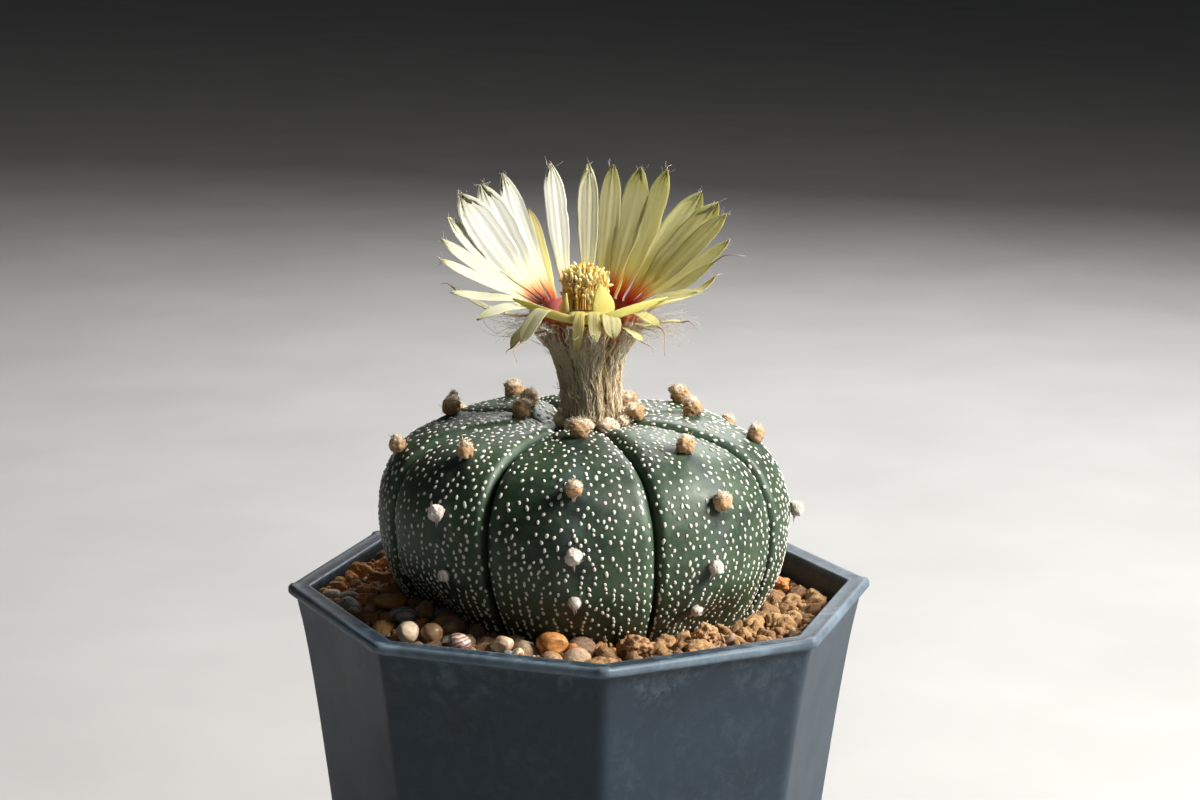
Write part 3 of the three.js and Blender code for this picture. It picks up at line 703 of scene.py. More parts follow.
# Areoles of each rib: share of the crest line, and place across the rib from -1 to 1.
AREOLES = [
    [(0.34, 0.0), (0.45, 0.0), (0.585, 0.0), (0.75, 0.03)],
    [(0.30, 0.0), (0.40, 0.0), (0.54, 0.0), (0.67, 0.0)],
    [(0.44, 0.25), (0.63, 0.0), (0.735, 0.5), (0.85, -0.1)],
    [(0.33, 0.0), (0.44, 0.0), (0.57, 0.0), (0.71, -0.1), (0.83, -0.1)],
    [(0.37, 0.0), (0.50, 0.0), (0.65, 0.0), (0.84, 0.1)],
    [(0.31, 0.0), (0.43, 0.0), (0.58, 0.0), (0.72, -0.3), (0.81, 0.4)],
    [(0.36, -0.75), (0.60, 0.3), (0.70, -0.6), (0.83, 0.1)],
    [(0.37, 0.0), (0.51, 0.0), (0.645, 0.0)],
]
# Degrees that each groove wanders at its foot, that each crest stands off the rib's middle, and
# that it wanders further near the soil.
GROOVE_SWAY = [3.0, 0.6, -0.5, 0.8, -1.2, 0.6, 1.0, -0.8]
CREST_SHIFT = [1.5, -3.5, -6.0, -5.0, 0.0, -3.0, 8.0, 7.0]
CREST_SWAY = [-0.5, -9.0, -6.0, 1.5, 1.0, 2.0, 2.0, 5.0]


ALL_AREOLES = [(rib, s, off) for rib, spots in enumerate(AREOLES) for s, off in spots]


def rib_degrees(share, rib, u):
    spans = np.array([rib_span(r) for r in range(8)], float)
    sway = np.array(GROOVE_SWAY)
    low = 1 - smooth(share, 0.08, 0.42)
    half = (u + 1) / 2
    crest = np.array(CREST_SHIFT)[rib] + np.array(CREST_SWAY)[rib] * (1 - smooth(share, 0.22, 0.58))
    crest = crest * (1 - smooth(share, 0.74, 0.95)) * (1 - np.abs(u) ** 1.4)
    grooves = sway[rib] * low * (1 - half) + sway[(rib + 1) % 8] * low * half
    return spans[rib, 0] + spans[rib, 1] * half + grooves + crest


def skin_point(share, rib, u, lift=0.0):
    """A point on a rib: share up its crest line, u from -1 to 1 across from groove to groove."""
    share, rib, u = np.broadcast_arrays(np.asarray(share, float), np.asarray(rib),
                                        np.asarray(u, float))
    shape = share.shape
    share, rib, u = share.ravel(), rib.ravel(), u.ravel()
    lift = np.broadcast_to(lift, shape).ravel()
    width = np.array([rib_span(r)[1] for r in range(8)], float)[rib]
    azimuth = np.radians(rib_degrees(share, rib, u))
    p = crest_at(share)
    ahead = unit(crest_at(share + 0.002) - crest_at(share - 0.002))
    across = np.abs(u)
    grown = smooth(share, 0.06, 0.3)
    young = 1 - 0.35 * smooth(share, 0.75, 1)
    narrow = np.clip((p[:, 0] - 5.5) / (0.35 * BODY_RADIUS), 0, 1)
    # Distance from the groove.
    side_mm = (1 - across) * np.radians(width) / 2 * np.maximum(p[:, 0], 1)
    crease = np.exp(-(side_mm / 0.95) ** 2)
    line = np.exp(-(side_mm / 0.30) ** 2)
    shoulder = np.exp(-((side_mm - 2.6) / 1.5) ** 2)
    depth = GROOVE_DEPTH * grown * young * narrow * (0.36 * across ** 2.4 + 0.26 * crease
            + 0.26 * line)
    depth = depth - 0.16 * grown * narrow * shoulder
    # The crest is lifted a little at each areole and the skin swells between them.
    for r, s, off in ALL_AREOLES:
        on = rib == r
        depth = depth - on * 0.5 * np.exp(-((share - s) / 0.03) ** 2 - ((u - off) / 0.22) ** 2)
        below = np.exp(-((share - s + 0.045) / 0.02) ** 2 - ((u - off) / 0.12) ** 2)
        depth = depth + on * 0.30 * below
    height = p[:, 1] - ahead[:, 0] * (lift - depth)
    z = EQUATOR_Z + height
    radius = p[:, 0] + ahead[:, 1] * (lift - depth) - foot_tuck(azimuth, z, p[:, 0])
    above = np.maximum(z, RIM_Z - MIX_BELOW_RIM) - EQUATOR_Z
    x = PLANT_X + PLANT_LEAN * above + radius * np.cos(azimuth)
    y = radius * np.sin(azimuth)
    return np.stack([x, y, z], -1).reshape(*shape, 3)


def skin_normal(share, rib, u):
    a = skin_point(share + 0.004, rib, u) - skin_point(share - 0.004, rib, u)
    b = skin_point(share, rib, u + 0.01) - skin_point(share, rib, u - 0.01)
    return unit(np.cross(b, a))


def skin_tint(points, share, rib, u):
    """Green skin with blue-grey bloom on the crests and shoulders, pale scars and an olive base at
    the soil line, and painted shade in the grooves, over the lower body and under the areoles.
    """
    n1 = fractal(points, 0.09, 3, 5)
    n2 = fractal(points, 0.35, 3, 9)
    deep, mid, light = srgb(34, 50, 35), srgb(54, 74, 50), srgb(80, 99, 75)
    tone = np.clip(0.45 + 0.35 * n1 + 0.22 * n2, 0, 1)
    colour = mix(deep, mid, smooth(tone, 0.1, 0.6))
    colour = mix(colour, light, 0.55 * smooth(tone, 0.55, 1.0))
    bloom = np.exp(-(np.abs(u) / 0.16) ** 2) * smooth(share, 0.2,
            0.45) * (0.5 + 0.5 * noise3(points, 0.5, 3))
    colour = paint(colour, ((88, 100, 104), 0.55 * np.clip(bloom, 0, 1)))
    edge = np.exp(-((np.abs(u) - 0.86) / 0.06) ** 2) * (0.6 + 0.4 * noise3(points, 0.3, 8))
    colour = paint(colour, ((98, 122, 104), 0.42 * np.clip(edge, 0, 1)))
    # Painted shade: a near-black line down the middle of each groove.
    painted_groove_shade = np.exp(-((1 - np.abs(u)) / 0.024) ** 2)
    colour = paint(colour, ((10, 16, 10), 0.92 * painted_groove_shade))
    # A dark olive over the lower body towards the soil: partly the olive tone of the old base,
    # partly painted shade.
    olive_base_and_shade = 1 - smooth(share, 0.18, 0.36)
    colour = paint(colour, ((36, 36, 22), 0.8 * olive_base_and_shade * np.clip(0.6 + n2, 0, 1)))
    scar = (1 - smooth(share, 0.16, 0.27)) * smooth(np.abs(u), 0.6, 0.95) * np.clip(0.5 + n2, 0, 1)
    colour = paint(colour, ((160, 150, 110), 0.5 * scar))
    # Painted shadow: a dark patch just below each areole, under its tuft.
    for r, s, off in ALL_AREOLES:
        d = np.sqrt(((share - s + 0.03) / 0.034) ** 2 + ((u - off) / 0.15) ** 2)
        colour = paint(colour,
                       ((26, 31, 32), np.where(rib == r, 0.6 * (1 - smooth(d, 0.4, 1.3)), 0)))
    return colour


RIB_COLUMNS = 38


def build_body():
    rows = np.concatenate([np.linspace(0.05, 0.86, 170), np.linspace(0.865, 0.985, 26)])
    # Columns crowd together at the grooves.
    t = ramp(RIB_COLUMNS, endpoint=False)
    u = -1 + 2 * (t - 0.52 / TAU * np.sin(TAU * t) * 1.15)
    ribs = np.repeat(np.arange(8), len(u))
    us = np.tile(u, 8)
    share, rib = np.meshgrid(rows, ribs, indexing="ij")
    across = np.tile(us, (len(rows), 1))
    points = skin_point(share, rib, across)
    flat = points.reshape(-1, 3)
    bumps = 0.10 * fractal(flat, 0.22, 2, 21) + 0.035 * fractal(flat, 0.9, 2, 4)
    normal = unit((flat - [PLANT_X, 0, EQUATOR_Z - 6]) * [1, 1, 1.2])
    flat = flat + normal * bumps[:, None]
    tint = skin_tint(flat, share.ravel(), rib.ravel(), across.ravel())
    columns = len(us)
    low = flat[:columns].mean(0)
    high = flat[-columns:].mean(0)
    shape = Shape()
    tint = np.concatenate([tint, tint[:1], tint[-1:]])
    shape.add(np.concatenate([flat, [low], [high]]), closed_faces(len(rows), columns), tint)
    shape.make("cactus_skin", skin_material(), "cactus_skin", ["cactus_body"])


FLECK_SIDES = 7
CHAIN_GAP = 0.72          # mm between flecks in a chain
LOOSE_GAPS = 0.8, 1.3     # mm between scattered flecks: a quarter stand closer
CLOSER_SHARE = 0.25


def build_flecks():
    """White woolly flecks: scattered above, strung into vertical chains on the lower flanks."""
    r = rng(11)
    spots = []
    for rib in range(8):
        width = rib_span(rib)[1]
        lines = round(width * 0.40)
        trial = []
        for line in range(lines):
            base_u = -0.96 + 1.92 * (line + 0.5) / lines
            s = 0.1 + 0.02 * r.random()
            while s < 0.95:
                p = crest_at(np.array([s, s + 0.01]))
                mm_per_share = np.linalg.norm(p[1] - p[0]) / 0.01
                half_mm = np.radians(width) / 2 * max(p[0, 0], 1)
                low = 1 - float(smooth(s, 0.3, 0.55))
                s += (0.80 + 0.60 * (1 - low)) * (0.7 + 0.6 * r.random()) / mm_per_share
                # Chains bow away from the crest round each areole, and scatter on the upper part.
                swing = sum(
                    0.10 * math.exp(-((s - a + 0.02) / 0.035) ** 2 - ((base_u - off) / 0.35) ** 2)
                    for a, off in AREOLES[rib])
                u = (base_u + math.copysign(swing, base_u + 1e-6)
                     + r.normal() * (0.10 + 0.62 * (1 - low)) / half_mm)
                near = any(
                    math.hypot((s - a + 0.012) * mm_per_share, (u - off) * half_mm)
                    < 1.9 + 0.7 * (a > 0.6)
                    for a, off in AREOLES[rib])
                inside = abs(u) < 1 - 0.9 / half_mm and s < 0.95
                if inside and not near and r.random() < 0.95 - 0.08 * low:
                    loose = LOOSE_GAPS[0] if r.random() < CLOSER_SHARE else LOOSE_GAPS[1]
                    trial.append((s, u, low, CHAIN_GAP * low + (1 - low) * loose))
        trial = np.array(trial)
        where = skin_point(trial[:, 0], rib, trial[:, 1])
        upright = unit(skin_point(trial[:, 0] + 0.01, rib, trial[:, 1]) - where)
        kept = []
        for k, (s, u, low, least) in enumerate(trial):
            if kept:
                apart = where[kept] - where[k]
                along = apart @ upright[k]
                beside = np.sqrt(np.maximum(np.sum(apart ** 2, axis=1) - along ** 2, 0))
                # Neighbouring chains keep about twice the distance that flecks keep inside a chain.
                if np.min(np.hypot(along, beside * (1 - 0.52 * low))) < least:
                    continue
            kept.append(k)
            spots.append((rib, s, u, low))
    spots = np.array(spots)
    rib, s, u, low = spots[:, 0].astype(int), spots[:, 1], spots[:, 2], spots[:, 3]
    centre = skin_point(s, rib, u)
    normal = skin_normal(s, rib, u)
    upward = unit(skin_point(s + 0.01, rib, u) - skin_point(s - 0.01, rib, u))
    across = np.cross(normal, upward)
    n = len(spots)
    size = 0.25 + 0.09 * r.random(n) - 0.045 * low
    long = size * (1.05 + 0.5 * r.random(n) + 0.15 * low)
    lean = (r.random(n) - 0.5) * 1.1
    long = np.where(r.random(n) < 0.14, long * 1.4, long)
    sides = FLECK_SIDES
    turn = np.arange(sides) * TAU / sides
    shape = Shape()
    rings = []
    wobble = 0.84 + 0.3 * r.random((n, sides))
    for scale, lift in ((1.06, -0.07), (0.98, 0.05), (0.60, 0.12)):
        a = np.cos(turn)[None] * long[:, None] * scale * wobble
        b = np.sin(turn)[None] * size[:, None] * scale * wobble
        ca, sa = np.cos(lean)[:, None], np.sin(lean)[:, None]
        along, side = a * ca - b * sa, a * sa + b * ca
        rings.append(centre[:, None] + upward[:, None] * along[..., None]
                     + across[:, None] * side[..., None]
                     + normal[:, None] * lift)
    top = centre + normal * 0.15
    bottom = centre - normal * 0.12
    points = np.concatenate([np.stack(rings, 1).reshape(n, -1, 3), top[:, None],
                             bottom[:, None]], 1)
    # The rings run clockwise seen from outside, so the grid is flipped.
    local = np.concatenate([grid_faces(3, sides, True)], 0)[:, ::-1]
    caps = np.concatenate([fan_faces(np.arange(sides) + 2 * sides, 3 * sides, True),
                           fan_faces(np.arange(sides), 3 * sides + 1, False)])
    per = 3 * sides + 2
    offset = (np.arange(n) * per)[:, None, None]
    quads = (local[None] + offset).reshape(-1, 4)
    tris = (caps[None] + offset).reshape(-1, 3)
    tone = 0.78 + 0.2 * r.random(n)
    tint = np.repeat(between((176, 172, 156), (238, 236, 226), tone), per, axis=0)
    shape.add(points, [quads, tris], tint)
    shape.make("skin_flecks", wool_material("fleck_wool", share=0.0), "cactus_skin")


# Areoles

def fluff(shape, centre, frame3, half, r, fibres, shaded_tint, lit_tint, length=1.0, thick=0.045):
    """A woolly tuft: a lumpy core with short curved fibres all over its outer side, with painted
    light and shade that make it paler on top and darker below.
    """
    level = 3 if max(half) > 1.2 else 2
    ball, tris = icosphere(level)
    shift = r.random(3) * 40
    swell = 1 + 0.2 * fractal(ball * 1.4 + shift, 1.0, 4, 2, 0.65)
    local = ball * swell[:, None] * half
    world = centre + local @ frame3
    # Painted light: the core is paler on its top and darker underneath.
    shade = np.clip(0.5 + 0.5 * ball[:, 2] + 0.35 * fractal(ball * 2 + shift, 1.5, 2, 7), 0, 1)
    shape.add(world, [tris], mix(shaded_tint, lit_tint, shade))
    start = unit(r.normal(size=(fibres, 3)) + [0, 0, 0.7])
    for k in range(fibres):
        d = start[k]
        base = d * half * (0.9 + 0.05 * r.random())
        way = unit(d * 0.8 + r.normal(size=3) * 0.55)
        curl = r.normal(size=3) * 0.35
        reach = length * (0.25 + 0.45 * r.random())
        path = np.array([base + way * reach * t + curl * reach * t * t for t in (0, 0.5, 1)])
        # Painted light: fibres that point up are paler.
        tone = np.clip(0.45 + 0.5 * d[2] + 0.3 * r.normal(), 0, 1)
        strand(shape, centre + path @ frame3, [thick, thick * 0.8, thick * 0.35],
               mix(shaded_tint, lit_tint, tone) * (0.95 + 0.2 * r.random()), sides=3)


def tuft_frame(normal, upward):
    across = unit(np.cross(upward, normal))
    return np.array([across, unit(np.cross(normal, across)), normal])


def build_areoles():
    """Two-lobed tan tufts near the crown, round ones below, grey ones with tails near the soil."""
    tan, cream = srgb(204, 170, 128), srgb(250, 236, 214)
    brown = srgb(168, 134, 98)
    grey, pale = srgb(176, 162, 148), srgb(246, 240, 230)
    upper, lower, crown = Shape(), Shape(), Shape()
    r = rng(71)

    def place(rib, s, off):
        where = np.array([s]), np.array([rib]), np.array([off])
        normal = skin_normal(*where)[0]
        upward = unit(skin_point(s + 0.01, [rib], [off])[0] - skin_point(s - 0.01, [rib], [off])[0])
        return skin_point(*where)[0], normal, upward, np.cross(upward, normal)

    def tails(centre, normal, upward, across, count, reach):
        for _ in range(count):
            side, tail = (r.random() - 0.5) * 0.8, reach * (0.6 + 0.8 * r.random())
            path = [centre + normal * (0.85 - 0.6 * t) + across * side * (1 - 0.4 * t)
                    - upward * (0.6 + tail * t)
                    for t in ramp(5)]
            strand(lower, path, [0.10, 0.09, 0.07, 0.05, 0.02], pale * 0.82, sides=4)

    for rib, s, off in ALL_AREOLES:
        centre, normal, upward, across = place(rib, s, off)
        turn = (r.random() - 0.5) * 0.5
        frame3 = tuft_frame(normal, upward * math.cos(turn) + across * math.sin(turn))
        jitter = 0.9 + 0.2 * r.random()
        if s > 0.69:
            half = np.array([1.95, 1.55, 1.65]) * jitter
            fluff(upper, centre + normal * 1.0, frame3, half, r, 220, brown, tan * 1.15, 0.95)
            lobe = centre + normal * 2.0 + upward * 0.5 + across * (r.random() - 0.5) * 1.3
            fluff(upper, lobe, frame3, half * [0.86, 0.80, 0.62], r, 200, tan, cream, 0.95)
        elif s > 0.52:
            half = np.array([1.6, 1.5, 1.5]) * jitter
            fluff(upper, centre + normal * 0.95, frame3, half, r, 200, brown, tan * 1.2, 0.85)
            fluff(upper, centre + normal * 1.6 + upward * 0.55, frame3, half * [0.86, 0.7, 0.72], r,
                  170, tan * 1.1, cream, 0.85)
            tails(centre, normal, upward, across, 7, 1.2)
        else:
            small = 0.95 + 0.42 * float(smooth(s, 0.28, 0.5))
            half = np.array([1.06, 1.05, 1.05]) * small * jitter
            fluff(lower, centre + normal * 0.7 * small, frame3, half, r, 170, grey, pale,
                  0.5, thick=0.04)
            tails(centre, normal, upward, across, 6, 1.6)
    # A crooked horn of wool, and the newest tufts squeezed against the foot of the tube.
    centre, normal, upward, across = place(6, 0.70, -0.6)
    for k, t in enumerate(ramp(4)):
        at = centre + normal * (1.9 + 1.3 * t) - across * (0.4 + 1.6 * t) + upward * 0.5 * t
        fluff(crown, at, tuft_frame(normal, upward), np.full(3, 1.15 - 0.5 * t), r, 90,
              tan, cream, 0.8)
    squeezed = ((-104, 1.5, 0.4), (-62, 1.6, 0.3), (-20, 1.3, 0.6), (20, 1.5, 0.8), (62, 1.4, 0.6),
                (112, 1.8, 1.0), (150, 1.5, 0.6), (196, 1.5, 0.5), (232, 1.3, 0.3))
    for degrees, size, rise in squeezed:
        a = math.radians(degrees)
        out = outward(a)
        centre = TUBE_FOOT + out * (TUBE_RADIUS + 0.55 + 0.3 * size) + [0, 0, 0.55 + rise]
        frame3 = tuft_frame(unit(out * 0.5 + [0, 0, 0.85]), unit(UP - out * 0.4))
        fluff(crown, centre, frame3, np.array([1.25, 0.85, 0.9]) * size, r, 260, tan, cream, 0.95)
    wool = wool_material("areole_wool")
    upper.make("areoles_upper", wool, "tube_wool")
    lower.make("areoles_lower", wool, "tube_wool")
    crown.make("areoles_crown", wool, "tube_wool")


# Ground

# How far the dressing lies below the rim on each side, as in the CAD part.
DRESSING_RIGHT, DRESSING_LEFT, DRESSING_BACK, DRESSING_FRONT = 4.2, 0.8, 3.5, 1.2


def dressing_level(angle):
    c, s = np.cos(angle), np.sin(angle)
    side = np.where(c > 0, DRESSING_RIGHT, DRESSING_LEFT)
    end = np.where(s > 0, DRESSING_BACK, DRESSING_FRONT)
    return RIM_Z - (side * c * c + end * s * s)


def wall_reach(angle, z, margin=0.0):
    off = (angle - POT_TURN) % (math.pi / 4) - math.pi / 8
    return (np.vectorize(inner_wall)(z) - margin) * CORNER_SHARE / np.cos(off)


CREST_TABLE = crest_at(np.linspace(0, 0.6, 200))


def body_reach(z, angle):
    reach = np.interp(z - EQUATOR_Z, CREST_TABLE[:, 1], CREST_TABLE[:, 0])
    return reach - foot_tuck(angle, z, reach)


BED_ROWS, BED_COLUMNS = 26, 260


def build_bed():
    """The crumbly top of the dressing, which shows only between the grains."""
    rows, columns = BED_ROWS, BED_COLUMNS
    angle = np.arange(columns) * TAU / columns
    out = ramp(rows)
    a, t = np.meshgrid(angle, out, indexing="xy")
    z = dressing_level(a) - 1.9
    inner = body_reach(z, a) - 1.8
    outer = wall_reach(a, z, 0.25)
    radius = inner + (outer - inner) * t
    top = np.stack([radius * np.cos(a) + PLANT_X * (1 - t), radius * np.sin(a), z],
                   -1).reshape(-1, 3)
    top[:, 2] += 0.7 * fractal(top, 0.55, 3, 33, 0.6)
    low = top.reshape(rows, columns, 3)[[-1, 0]].copy()
    low[:, :, 2] = RIM_Z - MIX_BELOW_RIM + CLEARANCE
    low[0, :, :2] *= 0.985
    points = np.concatenate([low[1], top.reshape(rows, columns, 3).reshape(-1, 3),
                             low[0]]).reshape(-1, 3)
    shade = np.clip(0.45 + 0.5 * fractal(points, 0.4, 3, 2), 0, 1)
    tint = between((58, 38, 22), (126, 86, 48), shade)
    shape = Shape()
    shape.add(points, [grid_faces(rows + 2, columns, True, True)[:, ::-1]], tint)
    shape.make("dressing_bed", tinted_material("dressing_bed", 900, 0.5, 0.95, 0.4, 0.8),
               "clay_grains", ["top_dressing"])


def grain_shape(shape, centre, half, r, kind, tint, level=2):
    """One grain. kind: clay, a crumbly broken clump; stone, a rounded pebble."""
    ball, tris = icosphere(level)
    shift = r.random(3) * 90
    if kind == "stone":
        swell = 1 + 0.10 * fractal(ball + shift, 0.9, 2, 1)
        # a few broad worn facets
        for _ in range(4):
            way = unit(r.normal(size=3))
            over = np.maximum(ball @ way - (0.72 + 0.15 * r.random()), 0)
            swell -= over * 0.75
    else:
        lumps = unit(r.normal(size=(7, 3)))
        swell = 0.74 + 0.34 * np.max(np.exp(-((1 - ball @ lumps.T) / 0.16)), axis=1)
        swell += 0.14 * fractal(ball * 1.7 + shift, 1.3, 3, 3, 0.6)
    local = ball * swell[:, None] * half
    points = centre + local @ turned(r)
    tone = np.clip(0.5 + 0.45 * fractal(ball * 1.2 + shift, 1.2, 3, 6), 0, 1)
    low, high = tint
    shape.add(points, [tris], mix(low, high, tone))


def pairs(*colours):
    return [(srgb(*low), srgb(*high)) for low, high in colours]


CLAY = pairs(((126, 84, 40), (180, 132, 76)), ((110, 70, 32), (164, 116, 62)),
        ((140, 98, 54), (194, 152, 98)), ((98, 62, 28), (148, 100, 52)))
RUST = pairs(((160, 92, 32), (220, 142, 60)), ((132, 76, 32), (196, 122, 54)),
        ((104, 68, 40), (168, 120, 72)))
STONE = pairs(((150, 96, 34), (206, 150, 74)), ((120, 84, 50), (170, 128, 86)),
         ((196, 168, 136), (232, 214, 188)), ((98, 70, 50), (140, 106, 80)),
         ((150, 120, 92), (196, 168, 138)), ((110, 104, 100), (170, 166, 160)))


# Smallest and largest radius in mm, tries, and how deep below the dressing's level each class lies.
GRAIN_CLASSES = [(2.1, 3.2, 2400, 0.25), (1.2, 1.9, 4400, 0.55), (0.5, 0.9, 5000, 0.75)]


def build_grains(stones):
    """Hundreds of grains: tan clay on the right, rusty clay and pebbles on the left."""
    r = rng(5)
    names = ["grains_right", "grains_back", "grains_left", "grains_front"]
    shapes = {name: Shape() for name in names}
    hold = np.array([(*centre, size) for centre, size in stones])
    grains = []
    for size_low, size_high, tries, sink in GRAIN_CLASSES:
        for _ in range(tries):
            angle = r.random() * TAU
            size = size_low + (size_high - size_low) * r.random() ** 1.6
            z = float(dressing_level(angle)) - sink - size * 0.55 + 0.5 * r.random()
            inner = float(body_reach(z, angle)) + size * 0.45
            outer = float(wall_reach(angle, z, 0.1)) - size * 0.95
            if outer <= inner:
                continue
            radius = inner + (outer - inner) * r.random() ** 0.8
            x, y = radius * math.cos(angle) + PLANT_X, radius * math.sin(angle)
            if np.hypot(x, y) + size * 0.9 > float(wall_reach(math.atan2(y, x), z, 0.1)):
                continue
            apart = np.sqrt((hold[:, 0] - x) ** 2 + (hold[:, 1] - y) ** 2
                            + ((hold[:, 2] - z) * 0.8) ** 2)
            if np.any(apart < (hold[:, 3] + size) * 0.80):
                continue
            hold = np.vstack([hold, (x, y, z, size)])
            grains.append((x, y, z, size, angle))
    # Loose stones on top of the rest: azimuth, radius, half sizes and colours.
    loose = (
        (196, 42.0, (2.0, 1.7, 1.6), "clay", RUST[0]),
        (211, 43.4, (1.9, 1.6, 1.5), "clay", RUST[1]),
        (222, 38.4, (1.9, 1.7, 1.5), "clay", RUST[0]),
        (255, 42.6, (1.7, 1.3, 1.1), "stone", STONE[2]),
        (268, 38.8, (1.9, 1.6, 1.6), "clay", RUST[1]),
        (300, 41.2, (2.8, 2.4, 2.2), "clay", CLAY[2]),
        (296, 44.2, (1.8, 1.6, 1.4), "clay", RUST[0]),
        (334, 42.0, (1.1, 0.8, 0.8), "stone", STONE[2]),
    )
    for degrees, radius, half, kind, tint in loose:
        a = math.radians(degrees)
        centre = np.array([PLANT_X + radius * math.cos(a), radius * math.sin(a),
                           float(dressing_level(a)) - 0.3])
        name = ("grains_right" if degrees > 317
                else "grains_left" if degrees < 222 else "grains_front")
        grain_shape(shapes[name], centre, np.array(half), r, kind, tint, 3)
    for x, y, z, size, angle in grains:
        degrees = math.degrees(angle) % 360
        front_left = 190 < degrees < 272
        left = 100 < degrees <= 190
        right = degrees >= 290 or degrees < 75
        if front_left and r.random() < 0.72:
            kind, tint = "stone", STONE[r.integers(len(STONE))]
        elif left and r.random() < 0.18:
            kind, tint = "stone", STONE[r.integers(3)]
        elif front_left or left:
            kind, tint = "clay", RUST[r.integers(len(RUST))]
        elif right:
            kind, tint = "clay", CLAY[r.integers(len(CLAY))]
        else:
            kind, tint = "clay", (CLAY + RUST)[r.integers(len(CLAY) + len(RUST))]
        name = ("grains_right" if degrees < 60 or degrees >= 318 else "grains_back" if degrees < 140
                else "grains_left" if degrees < 222 else "grains_front")
        half = size * (np.array([1.12, 0.95, 0.85]) + 0.16 * (r.random(3) - 0.5))
        level = 2 if size > 0.95 else 1
        if kind == "clay" and size > 1.9:
            level = 3
        grain_shape(shapes[name], np.array([x, y, z]), half, r, kind, tint, level)
    clay = tinted_material("clay_grains", 2200, 0.30, 0.93, 0.34, 0.8, gloss=0.25)
    for name, shape in shapes.items():
        shape.make(name, clay, "clay_grains")


PEBBLES = {
    # kind, darkest and palest colour, material slot; places and sizes come from the frame
    "pebble_ochre": ("stone", ((176, 112, 34), (222, 164, 84)), "pebble_ochre"),
    "pebble_banded_grey": ("banded", ((92, 86, 84), (196, 190, 182)), "pebble_pale"),
    "pebble_cream": ("stone", ((206, 170, 132), (240, 218, 188)), "pebble_pale"),
    "pebble_brown": ("stone", ((110, 82, 54), (156, 120, 84)), "pebble_brown"),
    "pebble_red_brown": ("stone", ((130, 92, 62), (176, 134, 98)), "pebble_brown"),
    "pebble_dark": ("stone", ((80, 58, 40), (128, 96, 68)), "pebble_brown"),
    "pebble_red_white": ("banded", ((150, 76, 60), (232, 220, 208)), "pebble_pale"),
    "pebble_tan": ("stone", ((176, 142, 110), (220, 192, 160)), "pebble_pale"),
    "pebble_big_ochre": ("stone", ((160, 92, 30), (210, 144, 66)), "pebble_ochre"),
    "clump_front": ("clay", ((150, 98, 58), (204, 154, 106)), "clay_grains"),
    "clump_right": ("clay", ((156, 106, 66), (212, 164, 116)), "clay_grains"),
    "clump_orange": ("clay", ((176, 98, 40), (226, 150, 78)), "clay_grains"),
}


def build_pebbles():
    polished = tinted_material("pebble_stone", 1500, 0.05, 0.42, 0.22, 0.5, gloss=0.5)
    crumbly = tinted_material("clay_clump", 2200, 0.30, 0.93, 0.34, 0.8, gloss=0.25)
    for k, (name, (kind, (low, high), slot)) in enumerate(PEBBLES.items()):
        a, b = box_mm(name)
        centre, half = (a + b) / 2, (b - a) / 2 * 1.04
        r = rng(900 + k)
        ball, tris = icosphere(4)
        shift = r.random(3) * 50
        if kind == "clay":
            lumps = unit(r.normal(size=(16, 3)))
            swell = 0.76 + 0.3 * np.max(np.exp(-((1 - ball @ lumps.T) / 0.07)), axis=1)
            swell += 0.10 * fractal(ball * 2.4 + shift, 1.6, 4, 3, 0.6)
        else:
            swell = (1 + 0.07 * fractal(ball + shift, 0.9, 2, 1)
                     + 0.012 * fractal(ball + shift, 4, 3, 8))
            for _ in range(5):
                way = unit(r.normal(size=3))
                swell -= np.maximum(ball @ way - (0.7 + 0.15 * r.random()), 0) * 0.55
        points = centre + ball * swell[:, None] * half
        tone = np.clip(0.55 + 0.5 * fractal(ball * 1.3 + shift, 1.1, 4, 6), 0, 1)
        if kind == "banded":
            band = ball @ unit(r.normal(size=3)) * 4 + 0.8 * fractal(ball + shift, 1.4, 3, 12)
            tone = 0.5 + 0.5 * np.sin(band * 3.2) * 0.9 + 0.2 * noise3(ball, 6, 4)
        shape = Shape()
        shape.add(points, [tris], between(low, high, np.clip(tone, 0, 1)))
        shape.make(f"{name}_stone", crumbly if kind == "clay" else polished, slot, [name])


def build_twig():
    """A dried root twig that lies on the clay in front on the right, with a short side shoot."""
    angle = math.radians(-52)
    z = float(dressing_level(angle)) + 0.2
    mid = np.array([40.4 * math.cos(angle), 40.4 * math.sin(angle), z])
    along = unit(np.array([0.75, 0.35, 0.55]))
    shape = Shape()
    main = [mid + along * t + np.array([0.25 * math.sin(t * 1.3), 0.2 * math.cos(t * 1.7), 0])
            for t in np.linspace(-2.6, 2.8, 14)]
    shoot = [mid + along * 0.6 + np.array([-0.25 * t, 0.1 * t, 0.62 * t])
             for t in np.linspace(0, 2.6, 8)]
    tail = [mid - along * 1.2 + np.array([-0.5 * t, -0.3 * t, -0.25 * t])
            for t in np.linspace(0, 2.4, 7)]
    for path, radii, colour, sides in (
            (main, 0.42 + 0.14 * np.sin(np.linspace(0, 9, 14)), (168, 134, 118), 9),
            (shoot, np.linspace(0.34, 0.16, 8), (150, 112, 92), 8),
            (tail, np.linspace(0.3, 0.1, 7), (186, 158, 138), 8)):
        strand(shape, path, radii, srgb(*colour), sides=sides)
    shape.make("root_twig", tinted_material("dry_root", 2400, 0.2, 0.85, 0.35, 0.7), "pebble_brown")


# Flower: tube

TUBE_FLARE = [(0, 0.92), (0.25, 0.93), (0.43, 0.98), (0.58, 1.12), (0.68, 1.36), (0.76, 1.66),
              (0.84, 1.85)]


def cup_dip(x, y):
    return math.tan(CUP_TILT) * (y - CUP[1])


def tube_radius(share):
    shares = [s for s, _ in TUBE_FLARE] + [1.0]
    widths = [TUBE_RADIUS * w for _, w in TUBE_FLARE] + [CUP_RADIUS - 0.3]
    return np.interp(share, shares, widths)


